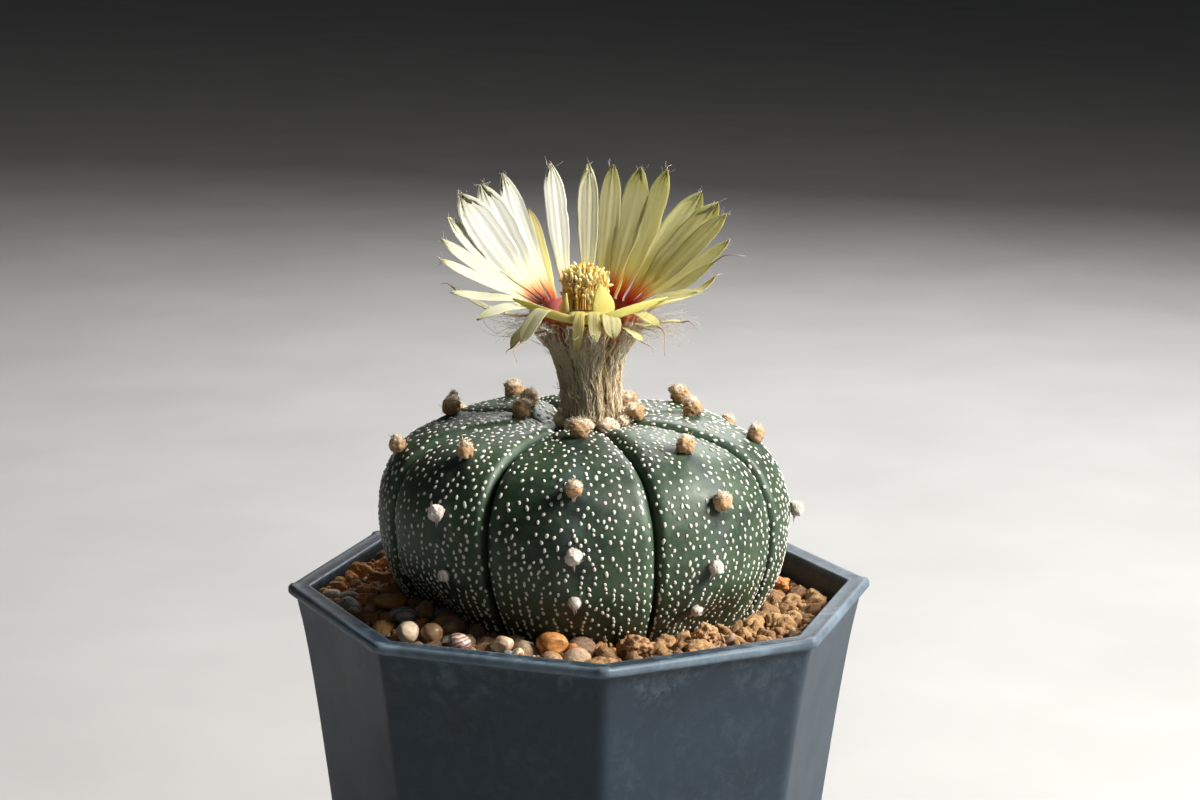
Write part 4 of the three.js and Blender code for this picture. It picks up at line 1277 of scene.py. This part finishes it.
def tube_point(share, angle, lift=0.0):
    share, angle = np.broadcast_arrays(np.asarray(share, float), np.asarray(angle, float))
    z = TUBE_FOOT[2] + TUBE_HEIGHT * share
    r = tube_radius(share) + lift
    x = TUBE_FOOT[0] + TUBE_LEAN * (z - TUBE_FOOT[2]) + r * np.cos(angle)
    y = TUBE_FOOT[1] + r * np.sin(angle)
    return np.stack([x, y, z + share * cup_dip(x, y)], -1)


TUBE_ROWS, TUBE_COLUMNS = 60, 96


def build_tube():
    columns = TUBE_COLUMNS
    angle = np.arange(columns) * TAU / columns
    rows = ramp(TUBE_ROWS)
    flat = np.array([tube_point(s, angle) for s in rows]).reshape(-1, 3)
    out = unit((flat - CUP) * [1, 1, 0])
    share = np.repeat(rows, columns)
    flat = flat + out * ((0.22 * fractal(flat * [1, 1, 0.35], 0.9, 3, 14) - 0.15)
                         * (1 - smooth(share, 0.9, 1)))[:, None]
    inner = []
    for r, drop, tilt in ((CUP_RADIUS - 1.0, 0.1, 1), (CUP_RADIUS - 1.6, -0.3, 1),
                          (CUP_RADIUS * 0.82, -1.6, 0.9),
                          (CUP_RADIUS * 0.62, -CUP_DEPTH * 0.45, 0.7),
                          (CUP_RADIUS * 0.5, -CUP_DEPTH * 0.75, 0.5),
                          (CUP_RADIUS * 0.42, -CUP_DEPTH, 0.3)):
        x, y = CUP[0] + r * np.cos(angle), CUP[1] + r * np.sin(angle)
        inner.append(np.stack([x, y, CUP[2] + drop + tilt * cup_dip(x, y)], -1))
    inner = np.array(inner).reshape(-1, 3)
    points = np.concatenate([flat, inner, [TUBE_FOOT], [[CUP[0], CUP[1], CUP[2] - CUP_DEPTH]]])
    tone = np.clip(0.5 + 0.6 * fractal(flat * [1, 1, 0.25], 1.3, 3, 3), 0, 1)
    low = between((164, 130, 80), (246, 222, 172), tone)
    red = between((160, 58, 44), (206, 128, 84), tone)
    tint = mix(low, red, smooth(share, 0.72, 0.86))
    throat = np.tile(srgb(150, 40, 8), (len(inner), 1))
    tint = np.concatenate([tint, throat, tint[:1], throat[:1]])
    shape = Shape()
    shape.add(points, closed_faces(len(rows) + 6, columns), tint)
    shape.make("floral_tube_skin", simple_material("tube_skin", 0.6, 0.0, 1800, 0.12), "tube_wool",
               ["floral_tube"])


def leaf_strip(shape, spine, outward, widths, thick, tint, place_seed=0.0, cup=0.0, across_n=5):
    """A thin closed leaf along a spine that faces outward, with half-widths and a hollow."""
    spine = np.asarray(spine, float)
    ahead = unit(np.gradient(spine, axis=0))
    side = unit(np.cross(outward, ahead))
    face = unit(np.cross(ahead, side))
    u = np.linspace(-1, 1, across_n)
    widths = np.asarray(widths, float)
    hollow = cup * (u[None, :] ** 2) * widths[:, None]
    middle = spine[:, None] + side[:, None] * (u[None, :, None]
            * widths[:, None, None]) + face[:, None] * hollow[..., None]
    half = thick / 2 * (1 - 0.75 * np.abs(u[None, :, None]) ** 3)
    top = middle + face[:, None] * half
    bottom = middle - face[:, None] * half
    ring = np.concatenate([top, bottom[:, ::-1]], axis=1)
    rows, count = ring.shape[:2]
    flat = ring.reshape(-1, 3)
    v = ramp(rows)
    uu = np.concatenate([u, u[::-1]])
    place = np.stack([uu[None] * widths[:, None], np.broadcast_to(v[:, None] * 3, (rows, count)),
                      np.full((rows, count), place_seed)], -1).reshape(-1, 3)
    points = np.concatenate([flat, spine[:1], spine[-1:]])
    place = np.concatenate([place, place[:1], place[-1:]])
    tints = np.asarray(tint, float)
    if tints.ndim == 2 and len(tints) == rows:
        tints = np.repeat(tints, count, axis=0)
        tints = np.concatenate([tints, tints[:1], tints[-1:]])
    shape.add(points, closed_faces(rows, count), tints, place)


TUBE_SCALES, WOOL_LOCKS, WOOL_HAIRS, LOOSE_HAIRS = 80, 34, 3600, 230


def build_tube_dress():
    """Scales and wool of the tube, loose curled hairs, and cobweb hairs under the petals."""
    r = rng(42)
    scales = Shape()
    for _ in range(TUBE_SCALES):
        a = r.random() * TAU
        s0 = 0.05 + 0.78 * r.random() ** 0.8
        long = 0.10 + 0.10 * r.random()
        t = ramp(8)
        drift = (r.random() - 0.5) * 0.25
        spine = tube_point(s0 + long * t, a + drift * t, 0.16 + 0.34 * t ** 2)
        out = np.tile([math.cos(a), math.sin(a), 0.0], (8, 1))
        w = (0.26 + 0.24 * r.random()) * np.sin(np.pi * (0.12 + 0.86 * t)) ** 0.8
        tone = between((104, 84, 46), (140, 84, 56), r.random())
        if s0 > 0.6:
            tone = mix(tone, srgb(168, 74, 66), 0.5 * r.random())
        leaf_strip(scales, spine, out, w, 0.12, tone * (0.8 + 0.5 * r.random()), 0, -0.2, 3)
    wool = Shape()
    locks = np.sort(r.random(WOOL_LOCKS)) * TAU
    for _ in range(WOOL_HAIRS):
        a = locks[r.integers(len(locks))] + 0.07 * r.normal()
        s0 = r.random() ** 1.05 * 0.84
        t = ramp(6)
        long = 0.12 + 0.26 * r.random()
        slant = (r.random() - 0.5) * 0.34
        puff = 0.2 + 0.85 * r.random() ** 2
        wave = 0.05 * np.sin(t * (4 + 5 * r.random()) + r.random() * 6)
        top = np.clip(s0 + long * t, 0, 0.95)
        path = tube_point(top, a + slant * t + wave, puff * np.sin(np.pi * (0.1 + 0.8 * t)) + 0.06)
        tone = between((246, 224, 182), (255, 250, 230), r.random() ** 0.6)
        if s0 > 0.66:
            tone = mix(tone, srgb(214, 160, 140), 0.35 * r.random())
        strand(wool, path, [0.04, 0.09, 0.12, 0.11, 0.07, 0.02], tone, sides=3)
    # curly hairs that stand off the outline
    for _ in range(LOOSE_HAIRS):
        a = r.random() * TAU
        s0 = 0.1 + 0.72 * r.random()
        t = ramp(9)
        bend = (r.random() - 0.5) * 1.4
        reach = 0.8 + 1.9 * r.random()
        path = tube_point(np.clip(s0 + (0.02 + 0.07 * r.random()) * t, 0, 0.95),
                          a + 0.25 * bend * t ** 2,
                          0.1 + reach * np.sin(t * 1.9) * (0.5 + 0.5 * r.random()))
        strand(wool, path, np.linspace(0.055, 0.02, 9), srgb(248, 238, 216), sides=3)
    cobweb = Shape()
    tufts = ((-22, 60, 1.0), (-5, 30, 0.8), (205, 34, 0.9), (186, 22, 0.7), (-50, 26, 0.7),
             (232, 16, 0.6),
             (30, 12, 0.6), (150, 12, 0.6), (90, 12, 0.5), (60, 8, 0.5), (120, 8, 0.5),
             (265, 10, 0.5))
    for degrees, count, size in tufts:
        for _ in range(count):
            a = math.radians(degrees + 26 * (r.random() - 0.5))
            t = ramp(16)
            reach = (4 + 8 * r.random()) * size
            base = tube_point(0.86 + 0.08 * r.random(), a, 0.4)
            out = outward(a)
            over = sideways(a)
            phase, turns = r.random() * TAU, 1.5 + 4 * r.random()
            loop = (0.5 + 1.3 * r.random()) * size
            path = (base + out * (reach * np.sin(t * (1.2 + 0.7 * r.random())))[:, None]
                    + over * (loop * np.sin(t * turns + phase) - loop * math.sin(phase))[:, None]
                    + UP * ((r.random() - 0.45) * 4 * t ** 1.4
                            + loop * (np.cos(t * turns + phase) - math.cos(phase)))[:, None])
            strand(cobweb, path, np.linspace(0.045, 0.02, 16),
                   srgb(250, 246, 240) * (0.85 + 0.15 * r.random()), sides=3)
    woolly = wool_material("tube_wool", share=0.42)
    scales.make("tube_scales", simple_material("tube_scales", 0.65, 0.1), "tube_wool")
    wool.make("tube_wool", woolly, "tube_wool")
    cobweb.make("cobweb_hairs", woolly, "tube_wool")


# Flower: stamens and stigma

FILAMENTS = 430
STIGMA_LOBES = 11
GOLDEN_ANGLE = 2.39996    # radians from one filament's root to the next


def build_stamens():
    """A packed brush of filaments with long pale anthers, round a column of golden stigma lobes."""
    r = rng(8)
    low = CUP[2] - CUP_DEPTH + CLEARANCE
    top = BRUSH_TOP
    shape = Shape()
    heads = Shape()
    for k in range(FILAMENTS):
        share = math.sqrt((k + 0.5) / FILAMENTS)
        a = k * GOLDEN_ANGLE + 0.3 * r.random()
        root_r = 1.6 + 2.4 * share
        out = BRUSH_RADIUS * (0.28 + 0.70 * share) * (0.90 + 0.18 * r.random())
        height = top - 0.6 - 7.4 * share ** 1.3 * r.random() ** 0.9 - 1.2 * r.random()
        t = ramp(7)
        lean = a + 0.25 * (r.random() - 0.5)
        reach = root_r + (out - root_r) * smooth(t, 0.35, 1)
        path = np.stack([CUP[0] + reach * np.cos(a + (lean - a) * t),
                         CUP[1] + reach * np.sin(a + (lean - a) * t),
                         low + (height - low) * t], -1)
        filament = between((252, 204, 96), (255, 238, 166), r.random())
        strand(shape, path, [0.11, 0.11, 0.10, 0.10, 0.09, 0.09, 0.08], filament, sides=5)
        ball, tris = icosphere(1)
        size = np.array([0.29, 0.26, 0.86]) * (0.85 + 0.35 * r.random())
        swell = 1 + 0.22 * fractal(ball + r.random(3) * 20, 1.6, 2, 2)
        m = turned(r)
        tilt = unit(np.array([math.cos(a), math.sin(a), 1.4]) + 0.6 * r.normal(size=3))
        frame3 = tuft_frame(tilt, unit(np.cross(tilt, m[0])))
        tone = between((255, 226, 112), (255, 250, 210), r.random() ** 0.7)
        heads.add(path[-1] + (ball * swell[:, None] * size) @ frame3, [tris], tone)
    shape.add(np.concatenate(heads.points), heads.faces, np.concatenate(heads.tints))
    pollen = simple_material("anthers", 0.7, 0.40, 3600, 0.08, 0.3)
    shape.make("stamen_brush", pollen, "anthers", ["stamens"])
    lobes = Shape()
    column = [np.array([CUP[0], CUP[1], z]) for z in np.linspace(low, top - 3.4, 10)]
    strand(lobes, column, 0.62, srgb(240, 204, 100), sides=12)
    for k in range(STIGMA_LOBES):
        a = k * TAU / STIGMA_LOBES + 0.2 * r.random()
        t = ramp(8)
        long = 3.3 + 0.7 * r.random()
        spread = 0.7 + 1.1 * r.random()
        path = np.stack([CUP[0] + (0.35 + spread * t ** 1.4) * np.cos(a),
                         CUP[1] + (0.35 + spread * t ** 1.4) * np.sin(a),
                         top - 3.7 + long * np.sin(t * 1.45) * 0.96], -1)
        tone = between((246, 196, 62), (255, 226, 120), r.random())
        strand(lobes, path, 0.32 * np.sqrt(1.02 - t ** 4) + 0.04, tone, sides=8)
    lobes.make("stigma_lobes", simple_material("stigma", 0.55, 0.2, 3000, 0.05),
               "stigma", ["style"])


# Flower: tepals

# Angle round the cup in degrees (90 is the back), reach of the tip from the cup's axis, its rise
# above the cup's rim, slope of the foot, half-width, how far the face is turned to the front
# (0 to 1), tone (0 white to 1 green; partly the flower's own pale yellow and partly painted light,
# white where a tepal faces the key lamp and green-yellow where light shows through it), how ragged
# the tip is, and length of a thread at the tip.
INNER = [
    (89, 17.5, 24.2, 62, 1.95, 0.1, 0.30, 0.8, 0),
    (112, 18.8, 24.2, 60, 2.15, 0.1, 0.02, 0.5, 1.0),
    (134, 23, 22.4, 50, 2.2, 0.35, 0.0, 0.6, 0.6),
    (147, 24, 20.6, 44, 3.3, 0.55, 0.0, 0.9, 0),
    (157.5, 25.2, 19.4, 42, 3.5, 0.55, 0.0, 1.0, 1.0),
    (167, 26.2, 15.6, 36, 2.1, 0.4, 0.05, 0.5, 0),
    (176, 26.4, 12.3, 28, 1.75, 0.35, 0.12, 0.4, 0),
    (185, 26.6, 9.1, 22, 1.6, 0.3, 0.18, 0.4, 1.6),
    (195, 24.9, 3.9, 22, 1.6, 0.25, 0.30, 0.3, 0),
    (209, 22, -0.4, 26, 1.7, 0.15, 0.34, 0.3, 0),
    (231, 18, -4.0, 28, 1.6, 0.15, 0.36, 0.2, 5.0),
    (74, 18.2, 24.2, 62, 2.1, 0.1, 0.40, 0.6, 0.5),
    (59, 19, 24, 58, 2.7, 0.15, 0.42, 0.7, 0),
    (45, 21, 23.7, 54, 2.4, 0.3, 0.50, 0.7, 1.5),
    (32, 25, 19.8, 46, 3.1, 0.5, 0.52, 0.7, 0.8),
    (22.5, 25.4, 18.8, 40, 3.1, 0.55, 0.56, 1.0, 0),
    (13, 26.2, 16.8, 36, 2.3, 0.45, 0.55, 0.6, 0.6),
    (3.5, 26.0, 12.6, 30, 1.9, 0.4, 0.58, 0.4, 0.8),
    (-6, 23.4, 8.4, 24, 1.7, 0.35, 0.55, 0.3, 7.5),
    (-18, 21.2, 4.0, 18, 1.8, 0.25, 0.66, 0.8, 0),
    (-38, 17, -0.8, 20, 1.5, 0.1, 0.85, 0.2, 6.0),
    (-66, 12.4, -3.4, 40, 1.8, 0, 0.62, 1.0, 0),
    (-82, 12.2, -4.2, 36, 1.1, 0, 0.70, 0.8, 0),
    (-95, 12.3, -5.9, 34, 1.0, 0, 0.85, 0.3, 0),
]
OUTER = [
    (122, 21.5, 15.6, 44, 2.0, 0.2, 1.0, 0.3, 0.6),
    (179, 24.4, 3.4, 4, 1.5, 0.1, 0.8, 0.3, 3.0),
    (218, 17, -5.4, 4, 1.3, 0, 0.8, 0.3, 2.0),
    (66, 19.5, 15, 46, 2.0, 0.2, 1.0, 0.3, 0.6),
    (8, 23.5, 6, 12, 1.6, 0.1, 0.9, 0.3, 2.0),
    (-30, 20, -0.6, 4, 1.3, 0, 0.9, 0.3, 4.5),
    (-50, 15.5, -3.8, 4, 1.1, 0, 0.9, 0.3, 3.5),
]
FRONT = np.array([0.0, -0.98, 0.2])
TEPAL_FOOT = 1.2
TEPAL_ROWS, TEPAL_COLUMNS = 40, 15
FOOT_ROWS = 7             # further rows that run down the cup's wall


def tepal_spine(angle, reach, rise, slope, foot_r, drop, steps):
    a = math.radians(angle)
    out = outward(a)
    foot = np.array([CUP[0], CUP[1], 0]) + out * foot_r
    foot[2] = CUP[2] + cup_dip(foot[0], foot[1]) + drop
    tip = np.array([CUP[0], CUP[1], CUP[2] + rise]) + out * reach
    pull = 0.45 * np.linalg.norm(tip - foot)
    bend = (foot + out * pull * math.cos(math.radians(slope))
            + [0, 0, pull * math.sin(math.radians(slope))])
    t = ramp(steps)[:, None]
    return (1 - t) ** 2 * foot + 2 * t * (1 - t) * bend + t ** 2 * tip, out


def tepal_colours(v, u, tone, inner, r):
    """Colour along (v) and across (u): red and orange foot, pale silk above, greener tip."""
    # Partly painted light: a low tone gives the white of tepals that face the key lamp, a high tone
    # the green-yellow of tepals seen with light through them.
    white = between((212, 211, 202), (252, 244, 172), tone)
    lower = between((228, 224, 186), (252, 240, 150), tone)
    tip = between((190, 191, 170), (222, 220, 136), min(tone + 0.1, 1))
    colour = mix(lower, white, smooth(v, 0.18, 0.5))
    colour = mix(colour, tip, smooth(v, 0.78, 1.0) * 0.8)
    colour = paint(colour, ((150, 132, 86), smooth(v, 0.95, 1.0) * 0.5))
    if inner:
        lines = 0.5 + 0.5 * np.cos(u * 9 + r.random() * 6)
        orange = 1 - smooth(v, 0.05, 0.22 + 0.07 * lines)
        colour = paint(colour, ((244, 158, 34), orange * 0.9),
                       ((196, 58, 4), (1 - smooth(v, 0.0, 0.08 + 0.14 * lines)) * 0.98))
    else:
        colour = paint(colour,
                       ((150, 96, 70), 0.45 * smooth(np.abs(u), 0.0, 1) * smooth(v, 0.5, 1)),
                       ((190, 100, 80), (1 - smooth(v, 0.0, 0.3)) * 0.7))
    return colour


def tepal_width(v, half):
    """Half-width along a tepal: a narrow foot, a long even blade, and a pointed tip."""
    width = TEPAL_FOOT / 2 + (half - TEPAL_FOOT / 2) * smooth(v, -0.08, 0.62) ** 0.9
    taper = np.clip((v - 0.72) / 0.28, 0, 1)
    return np.maximum(width * (1 - taper ** 2.3) ** 0.8, 0.14)


def build_tepals():
    pale = tepal_material("tepal_pale_yellow", 0.32)
    lit = tepal_material("tepal_lit_through", 0.66, 0.2)
    green = tepal_material("tepal_green_yellow", 0.30, 0.5)
    threads = Shape()
    for group, rows, foot_r, drop in (("inner", INNER, CUP_RADIUS - 0.9, 2 * CLEARANCE),
                                      ("outer", OUTER, CUP_RADIUS + 2 * CLEARANCE, -1.4)):
        for index, (angle, reach, rise, slope, half, facing, tone, ragged,
                    thread) in enumerate(rows, 1):
            r = rng(300 + index + (100 if group == "outer" else 0))
            steps, columns = TEPAL_ROWS, TEPAL_COLUMNS
            spine, out = tepal_spine(angle, reach, rise, slope, foot_r, drop, steps)
            v = ramp(steps)
            if group == "inner":
                # The foot runs on down the cup's wall, so that no gap shows in the throat.
                down = spine[0] + (CUP - spine[0]) * [0.42, 0.42, 0] - [0, 0, 5.4]
                inward = ramp(FOOT_ROWS)[:-1, None]
                foot = ((1 - inward) ** 2 * down
                        + 2 * inward * (1 - inward) * (spine[0] - [0, 0, 2.6])
                        + inward ** 2 * spine[0])
                spine = np.concatenate([foot, spine])
                v = np.concatenate([np.linspace(-0.16, 0, FOOT_ROWS)[:-1], v])
                steps = len(v)
            ahead = unit(np.gradient(spine, axis=0))
            face = unit(np.cross(ahead, unit(np.cross([0, 0, 1.0], out))))
            aim = unit(FRONT - ahead * (ahead @ FRONT)[:, None])
            aim = aim * np.where(np.sum(aim * face, axis=1) < 0, -1, 1)[:, None]
            face = unit(mix(face, aim, facing * smooth(v, 0.0, 0.45)))
            side = unit(np.cross(face, ahead))
            layer = 0.34 * ((index % 3) - 1) * (group == "inner")
            spine = spine + face * (layer * smooth(v, 0.05, 0.45))[:, None]
            spine = spine + side * (0.35 * r.normal() * np.clip(v, 0, 1) ** 2)[:, None]
            wave = 0.35 * r.normal() * np.sin(np.clip(v, 0, 1) * math.pi * (1 + r.random()))
            spine = spine + face * wave[:, None]
            width = tepal_width(v, half)
            u = np.linspace(-1, 1, columns)
            cup = 0.05 + 0.06 * r.random()
            edges = []
            for k in (0.0, 5.0):
                line = np.stack([v * 9, np.full(steps, k), np.full(steps, index * 3.3)], -1)
                edges.append(1 + 0.07 * fractal(line, 1, 3, 4))
            sides = np.where(u[None] > 0, edges[0][:, None], edges[1][:, None])
            offset = u[None] * width[:, None] * sides
            # Shallow lengthwise pleats, and a channel along the middle.
            pleats = sum(0.026 * half * np.sin(u[None] * f + 2.2 * v[:, None] + f)
                         for f in (5.0 + r.random(), 11.0 + 3 * r.random()))
            hollow = (cup * (np.abs(u[None]) ** 1.8) * width[:, None]
                      + pleats * smooth(v, 0.1, 0.5)[:, None])
            # Ragged tips: some lengthwise strips stop short of the point.
            teeth = (0.5 + 0.5 * np.cos(u * (7 + 4 * r.random()) + r.random() * 6)
                     + 0.3 * r.normal(size=columns))
            stop = 1 - ragged * 0.07 * np.clip(teeth, 0, 1.4) * (np.abs(u) < 0.99)
            stretch = 1 - (1 - stop[None]) * smooth(v, 0.76, 1)[:, None]
            along = np.clip((v[:, None] - v[0]) * stretch / (1 - v[0]), 0, 1) * (steps - 1)
            position = np.interp(along / (steps - 1), (v - v[0]) / (1 - v[0]), np.arange(steps))
            k = np.minimum(position.astype(int), steps - 2)
            f = (position - k)[..., None]
            centre = spine[k] * (1 - f) + spine[k + 1] * f
            middle = centre + side[k] * offset[..., None] + face[k] * hollow[..., None]
            thick = ((0.34 - 0.16 * np.clip(v, 0, 1))[:, None, None]
                     * (1 - 0.7 * np.abs(u[None, :, None]) ** 4))
            top, bottom = middle + face[k] * thick / 2, middle - face[k] * thick / 2
            ring = np.concatenate([bottom, top[:, ::-1]], axis=1)
            uu = np.concatenate([u, u[::-1]])
            count = 2 * columns
            flat = ring.reshape(-1, 3)
            vv = np.repeat(v, count)
            tint = tepal_colours(vv, np.tile(uu, steps), tone, group == "inner", r)
            if group == "inner":
                back = np.tile(np.concatenate([np.ones(columns), np.zeros(columns)]), steps)
                tint = mix(tint, between((214, 214, 166), (176, 178, 100), tone),
                           0.35 * back * smooth(vv, 0.15, 0.4))
            place = np.stack([np.tile(uu, steps) * half, vv * 4, np.full(len(vv), index * 7.7)], -1)
            points = np.concatenate([flat, ring[0].mean(0)[None],
                                     ring[-1].mean(0)[None] + ahead[-1] * 0.25])
            tint = np.concatenate([tint, tint[:1], tint[-1:]])
            place = np.concatenate([place, place[:1], place[-1:]])
            shape = Shape()
            shape.add(points, closed_faces(steps, count), tint, place)
            silk = green if group == "outer" else lit if tone > 0.35 else pale
            slot = "tepal_pale_yellow" if group == "inner" else "tepal_green_yellow"
            number = f"{group}_{index:02d}"
            shape.make("petal_" + number, silk, slot, ["tepal_" + number])
            tip, way, face, side = spine[-1], ahead[-1], face[-1], side[-1]
            if thread:
                t = ramp(14)[:, None]
                curl = (face * (0.35 * thread) * np.sin(t * 2.6 + r.random())
                        + side * (0.2 * thread) * np.sin(t * 4 + r.random() * 5))
                start = curl[0]
                path = tip - way * 0.4 + way * thread * 0.85 * t + (curl - start) * t
                strand(threads, path, np.linspace(0.16, 0.035, 14),
                       between((196, 160, 124), (214, 176, 160), r.random()), sides=5)
            for _ in range(int(3 + 6 * ragged)):
                t = ramp(6)[:, None]
                way2 = unit(way + 0.7 * r.normal(size=3))
                path = (tip - way * (0.3 + 1.6 * r.random()) + side * (r.random() - 0.5) * 1.6
                        + way2 * (0.7 + 1.4 * r.random()) * t)
                path = path + 0.3 * r.normal(size=3) * t ** 2
                strand(threads, path, np.linspace(0.035, 0.015, 6), srgb(224, 218, 204), sides=3)
    threads.make("tepal_threads", simple_material("tepal_threads", 0.7, 0.15), "tepal_green_yellow")


def build_front_folds():
    """Short perianth parts that stand in front of the stamens, and one folded one beside them."""
    green = tepal_material("tepal_fold", 0.34, 0.4)
    shape = Shape()
    r = rng(77)

    def strip(degrees, points, widths, tone, cup):
        a = math.radians(degrees)
        out = outward(a)
        over = sideways(a)
        corner = np.array([CUP + out * x + over * y + np.array([0, 0, z]) for x, y, z in points])
        t = ramp(18)
        at = ramp(len(points))
        spine = np.stack([np.interp(t, at, corner[:, k]) for k in range(3)], -1)
        for _ in range(6):
            spine[1:-1] = (spine[:-2] + spine[1:-1] * 2 + spine[2:]) / 4
        w = np.interp(t, ramp(len(widths)), widths)
        colour = mix(between((238, 226, 150), (216, 210, 98), tone), srgb(204, 202, 96),
                     smooth(t, 0.5, 1) * 0.7)
        colour = paint(colour, ((222, 120, 40), (1 - smooth(t, 0.0, 0.16)) * 0.5))
        leaf_strip(shape, spine, np.tile(-out, (18, 1)), w, 0.3, colour, degrees, cup, 9)

    # upright three-cornered flap, in front of the stamens on the right
    strip(-62, [(7.4, -0.4, -0.6), (7.8, -0.4, 1.6), (7.6, -0.6, 3.2), (6.9, -0.9, 5.8)],
          [1.7, 2.4, 2.2, 1.5, 0.12], 0.5, 0.06)
    # thin folded one on the left, half see-through
    strip(-130, [(6.6, 0, -1.6), (6.6, 0.1, 0.6), (6.2, 0.2, 2.0), (5.6, 0.2, 3.6)],
          [1.0, 1.3, 1.1, 0.6, 0.1], 0.0, 0.35)
    # the front's shallow bowl, which hides the foot of the stamens
    strip(-84, [(4.7, 0, -0.4), (5.3, 0, 0.8), (7.4, 0, 0.7), (9.2, 0, 0.2), (9.9, 0, -0.5)],
          [2.4, 3.2, 3.9, 4.0, 3.6], 0.62, 0.05)
    # two slender ones that cross over the cup's front from the sides and make its rim
    strip(-90, [(9.6, 3.0, -0.7), (10.0, -0.8, -0.6), (10.0, -4.4, 0.1), (8.4, -8.4, 1.2),
                (5.6, -13.0, 2.6)],
          [0.15, 0.5, 0.7, 0.8, 0.8, 0.7, 0.2], 0.25, 0.1)
    strip(-90, [(9.8, -2.4, -0.7), (10.1, 2.2, -0.3), (9.8, 5.6, 0.7), (8.0, 9.8, 1.9),
                (4.6, 15.4, 3.1)],
          [0.15, 0.5, 0.7, 0.8, 0.8, 0.7, 0.2], 0.6, 0.1)
    # a red-pink ring of short scales under them
    for _ in range(46):
        a = r.random() * TAU
        t = ramp(7)
        spine = tube_point(0.80 + 0.16 * t, a + 0.1 * (r.random() - 0.5) * t, 0.25 + 0.8 * t ** 2)
        tone = between((176, 62, 30), (222, 166, 92), r.random())
        leaf_strip(shape, spine, np.tile([math.cos(a), math.sin(a), 0.0], (7, 1)),
                   (0.5 + 0.4 * r.random()) * np.sin(np.pi * (0.2 + 0.78 * t)), 0.16,
                   tone, 3, -0.15, 5)
    shape.make("perianth_folds", green, "tepal_green_yellow")


# Stage, light and camera

def build_stage():
    n = Nodes("floor_paper")
    place = n.place
    tone = n.noise(place, 14, 3, 0.5)
    n.set(Base_Color=n.blend(n.span(tone, 0.3, 0.7), srgb(168, 167, 165), srgb(176, 175, 173)),
          Roughness=0.9)
    mesh = bpy.data.meshes.new("floor")
    w, near, far = 5.0, -1.6, 6.5
    mesh.from_pydata([(-w, near, 0), (w, near, 0), (w, far, 0), (-w, far, 0)], [], [(0, 1, 2, 3)])
    mesh.materials.append(n.material)
    floor = bpy.data.objects.new("floor", mesh)
    bpy.context.scene.collection.objects.link(floor)
    world = bpy.data.worlds.new("studio")
    world.use_nodes = True
    world.node_tree.nodes["Background"].inputs[0].default_value = (0.9, 0.94, 1.0, 1)
    world.node_tree.nodes["Background"].inputs[1].default_value = 0.028
    bpy.context.scene.world = world

    # Name, place, height aimed at, side of the square, power and colour.
    for name, place, aim, size, power, colour in (
            ("key", (0.61, -0.12, 0.56), 0.12, 0.30, 15.5, (1.0, 0.975, 0.935)),
            ("back", (0.20, 0.70, 0.66), 0.13, 0.45, 7.5, (0.98, 0.98, 0.98)),
            ("fill", (-0.15, -0.85, 0.80), 0.11, 0.9, 0.35, (0.92, 0.96, 1.0))):
        data = bpy.data.lights.new(name, "AREA")
        data.shape = "RECTANGLE"
        data.size = data.size_y = size
        data.energy, data.color = power, colour
        obj = bpy.data.objects.new(name, data)
        obj.location = place
        obj.rotation_euler = (Vector((0, 0, aim)) - Vector(place)).to_track_quat("-Z",
                "Y").to_euler()
        bpy.context.scene.collection.objects.link(obj)
    bpy.context.scene.view_settings.view_transform = "Standard"


CAMERA_PITCH_ROLL = 12.07, 0.67               # degrees
CAMERA_PLACE = 3.11, -501.03, 233.67          # mm


def build_camera():
    """Half a metre in front, looking about twelve degrees down, with a portrait lens."""
    pitch, roll = map(math.radians, CAMERA_PITCH_ROLL)
    ahead = np.array([0, math.cos(pitch), -math.sin(pitch)])
    up = np.array([0, math.sin(pitch), math.cos(pitch)])
    right = np.array([1.0, 0, 0])
    tilted = right * math.cos(roll) + up * math.sin(roll)
    upright = -right * math.sin(roll) + up * math.cos(roll)
    data = bpy.data.cameras.new("camera")
    data.lens, data.sensor_width = 84.0, 36.0
    data.clip_start = 0.01
    camera = bpy.data.objects.new("camera", data)
    m = np.eye(4)
    m[:3, 0], m[:3, 1], m[:3, 2] = tilted, upright, -ahead
    m[:3, 3] = np.array(CAMERA_PLACE) * MM
    camera.matrix_world = Matrix(m.tolist())
    bpy.context.scene.collection.objects.link(camera)
    bpy.context.scene.camera = camera


# The whole plant

build_stage()
build_camera()
build_pot()
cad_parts["potting_mix"].data.materials.clear()
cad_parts["potting_mix"].data.materials.append(soil_material())
build_body()
build_flecks()
build_areoles()
build_bed()
build_pebbles()
held = []
for name in PEBBLES:
    a, b = box_mm(name)
    held.append(((a + b) / 2, float(np.max((b - a)[:2]) / 2)))
build_grains(held)
build_twig()
build_tube()
build_tube_dress()
build_stamens()
build_tepals()
build_front_folds()

bpy.context.view_layer.update()
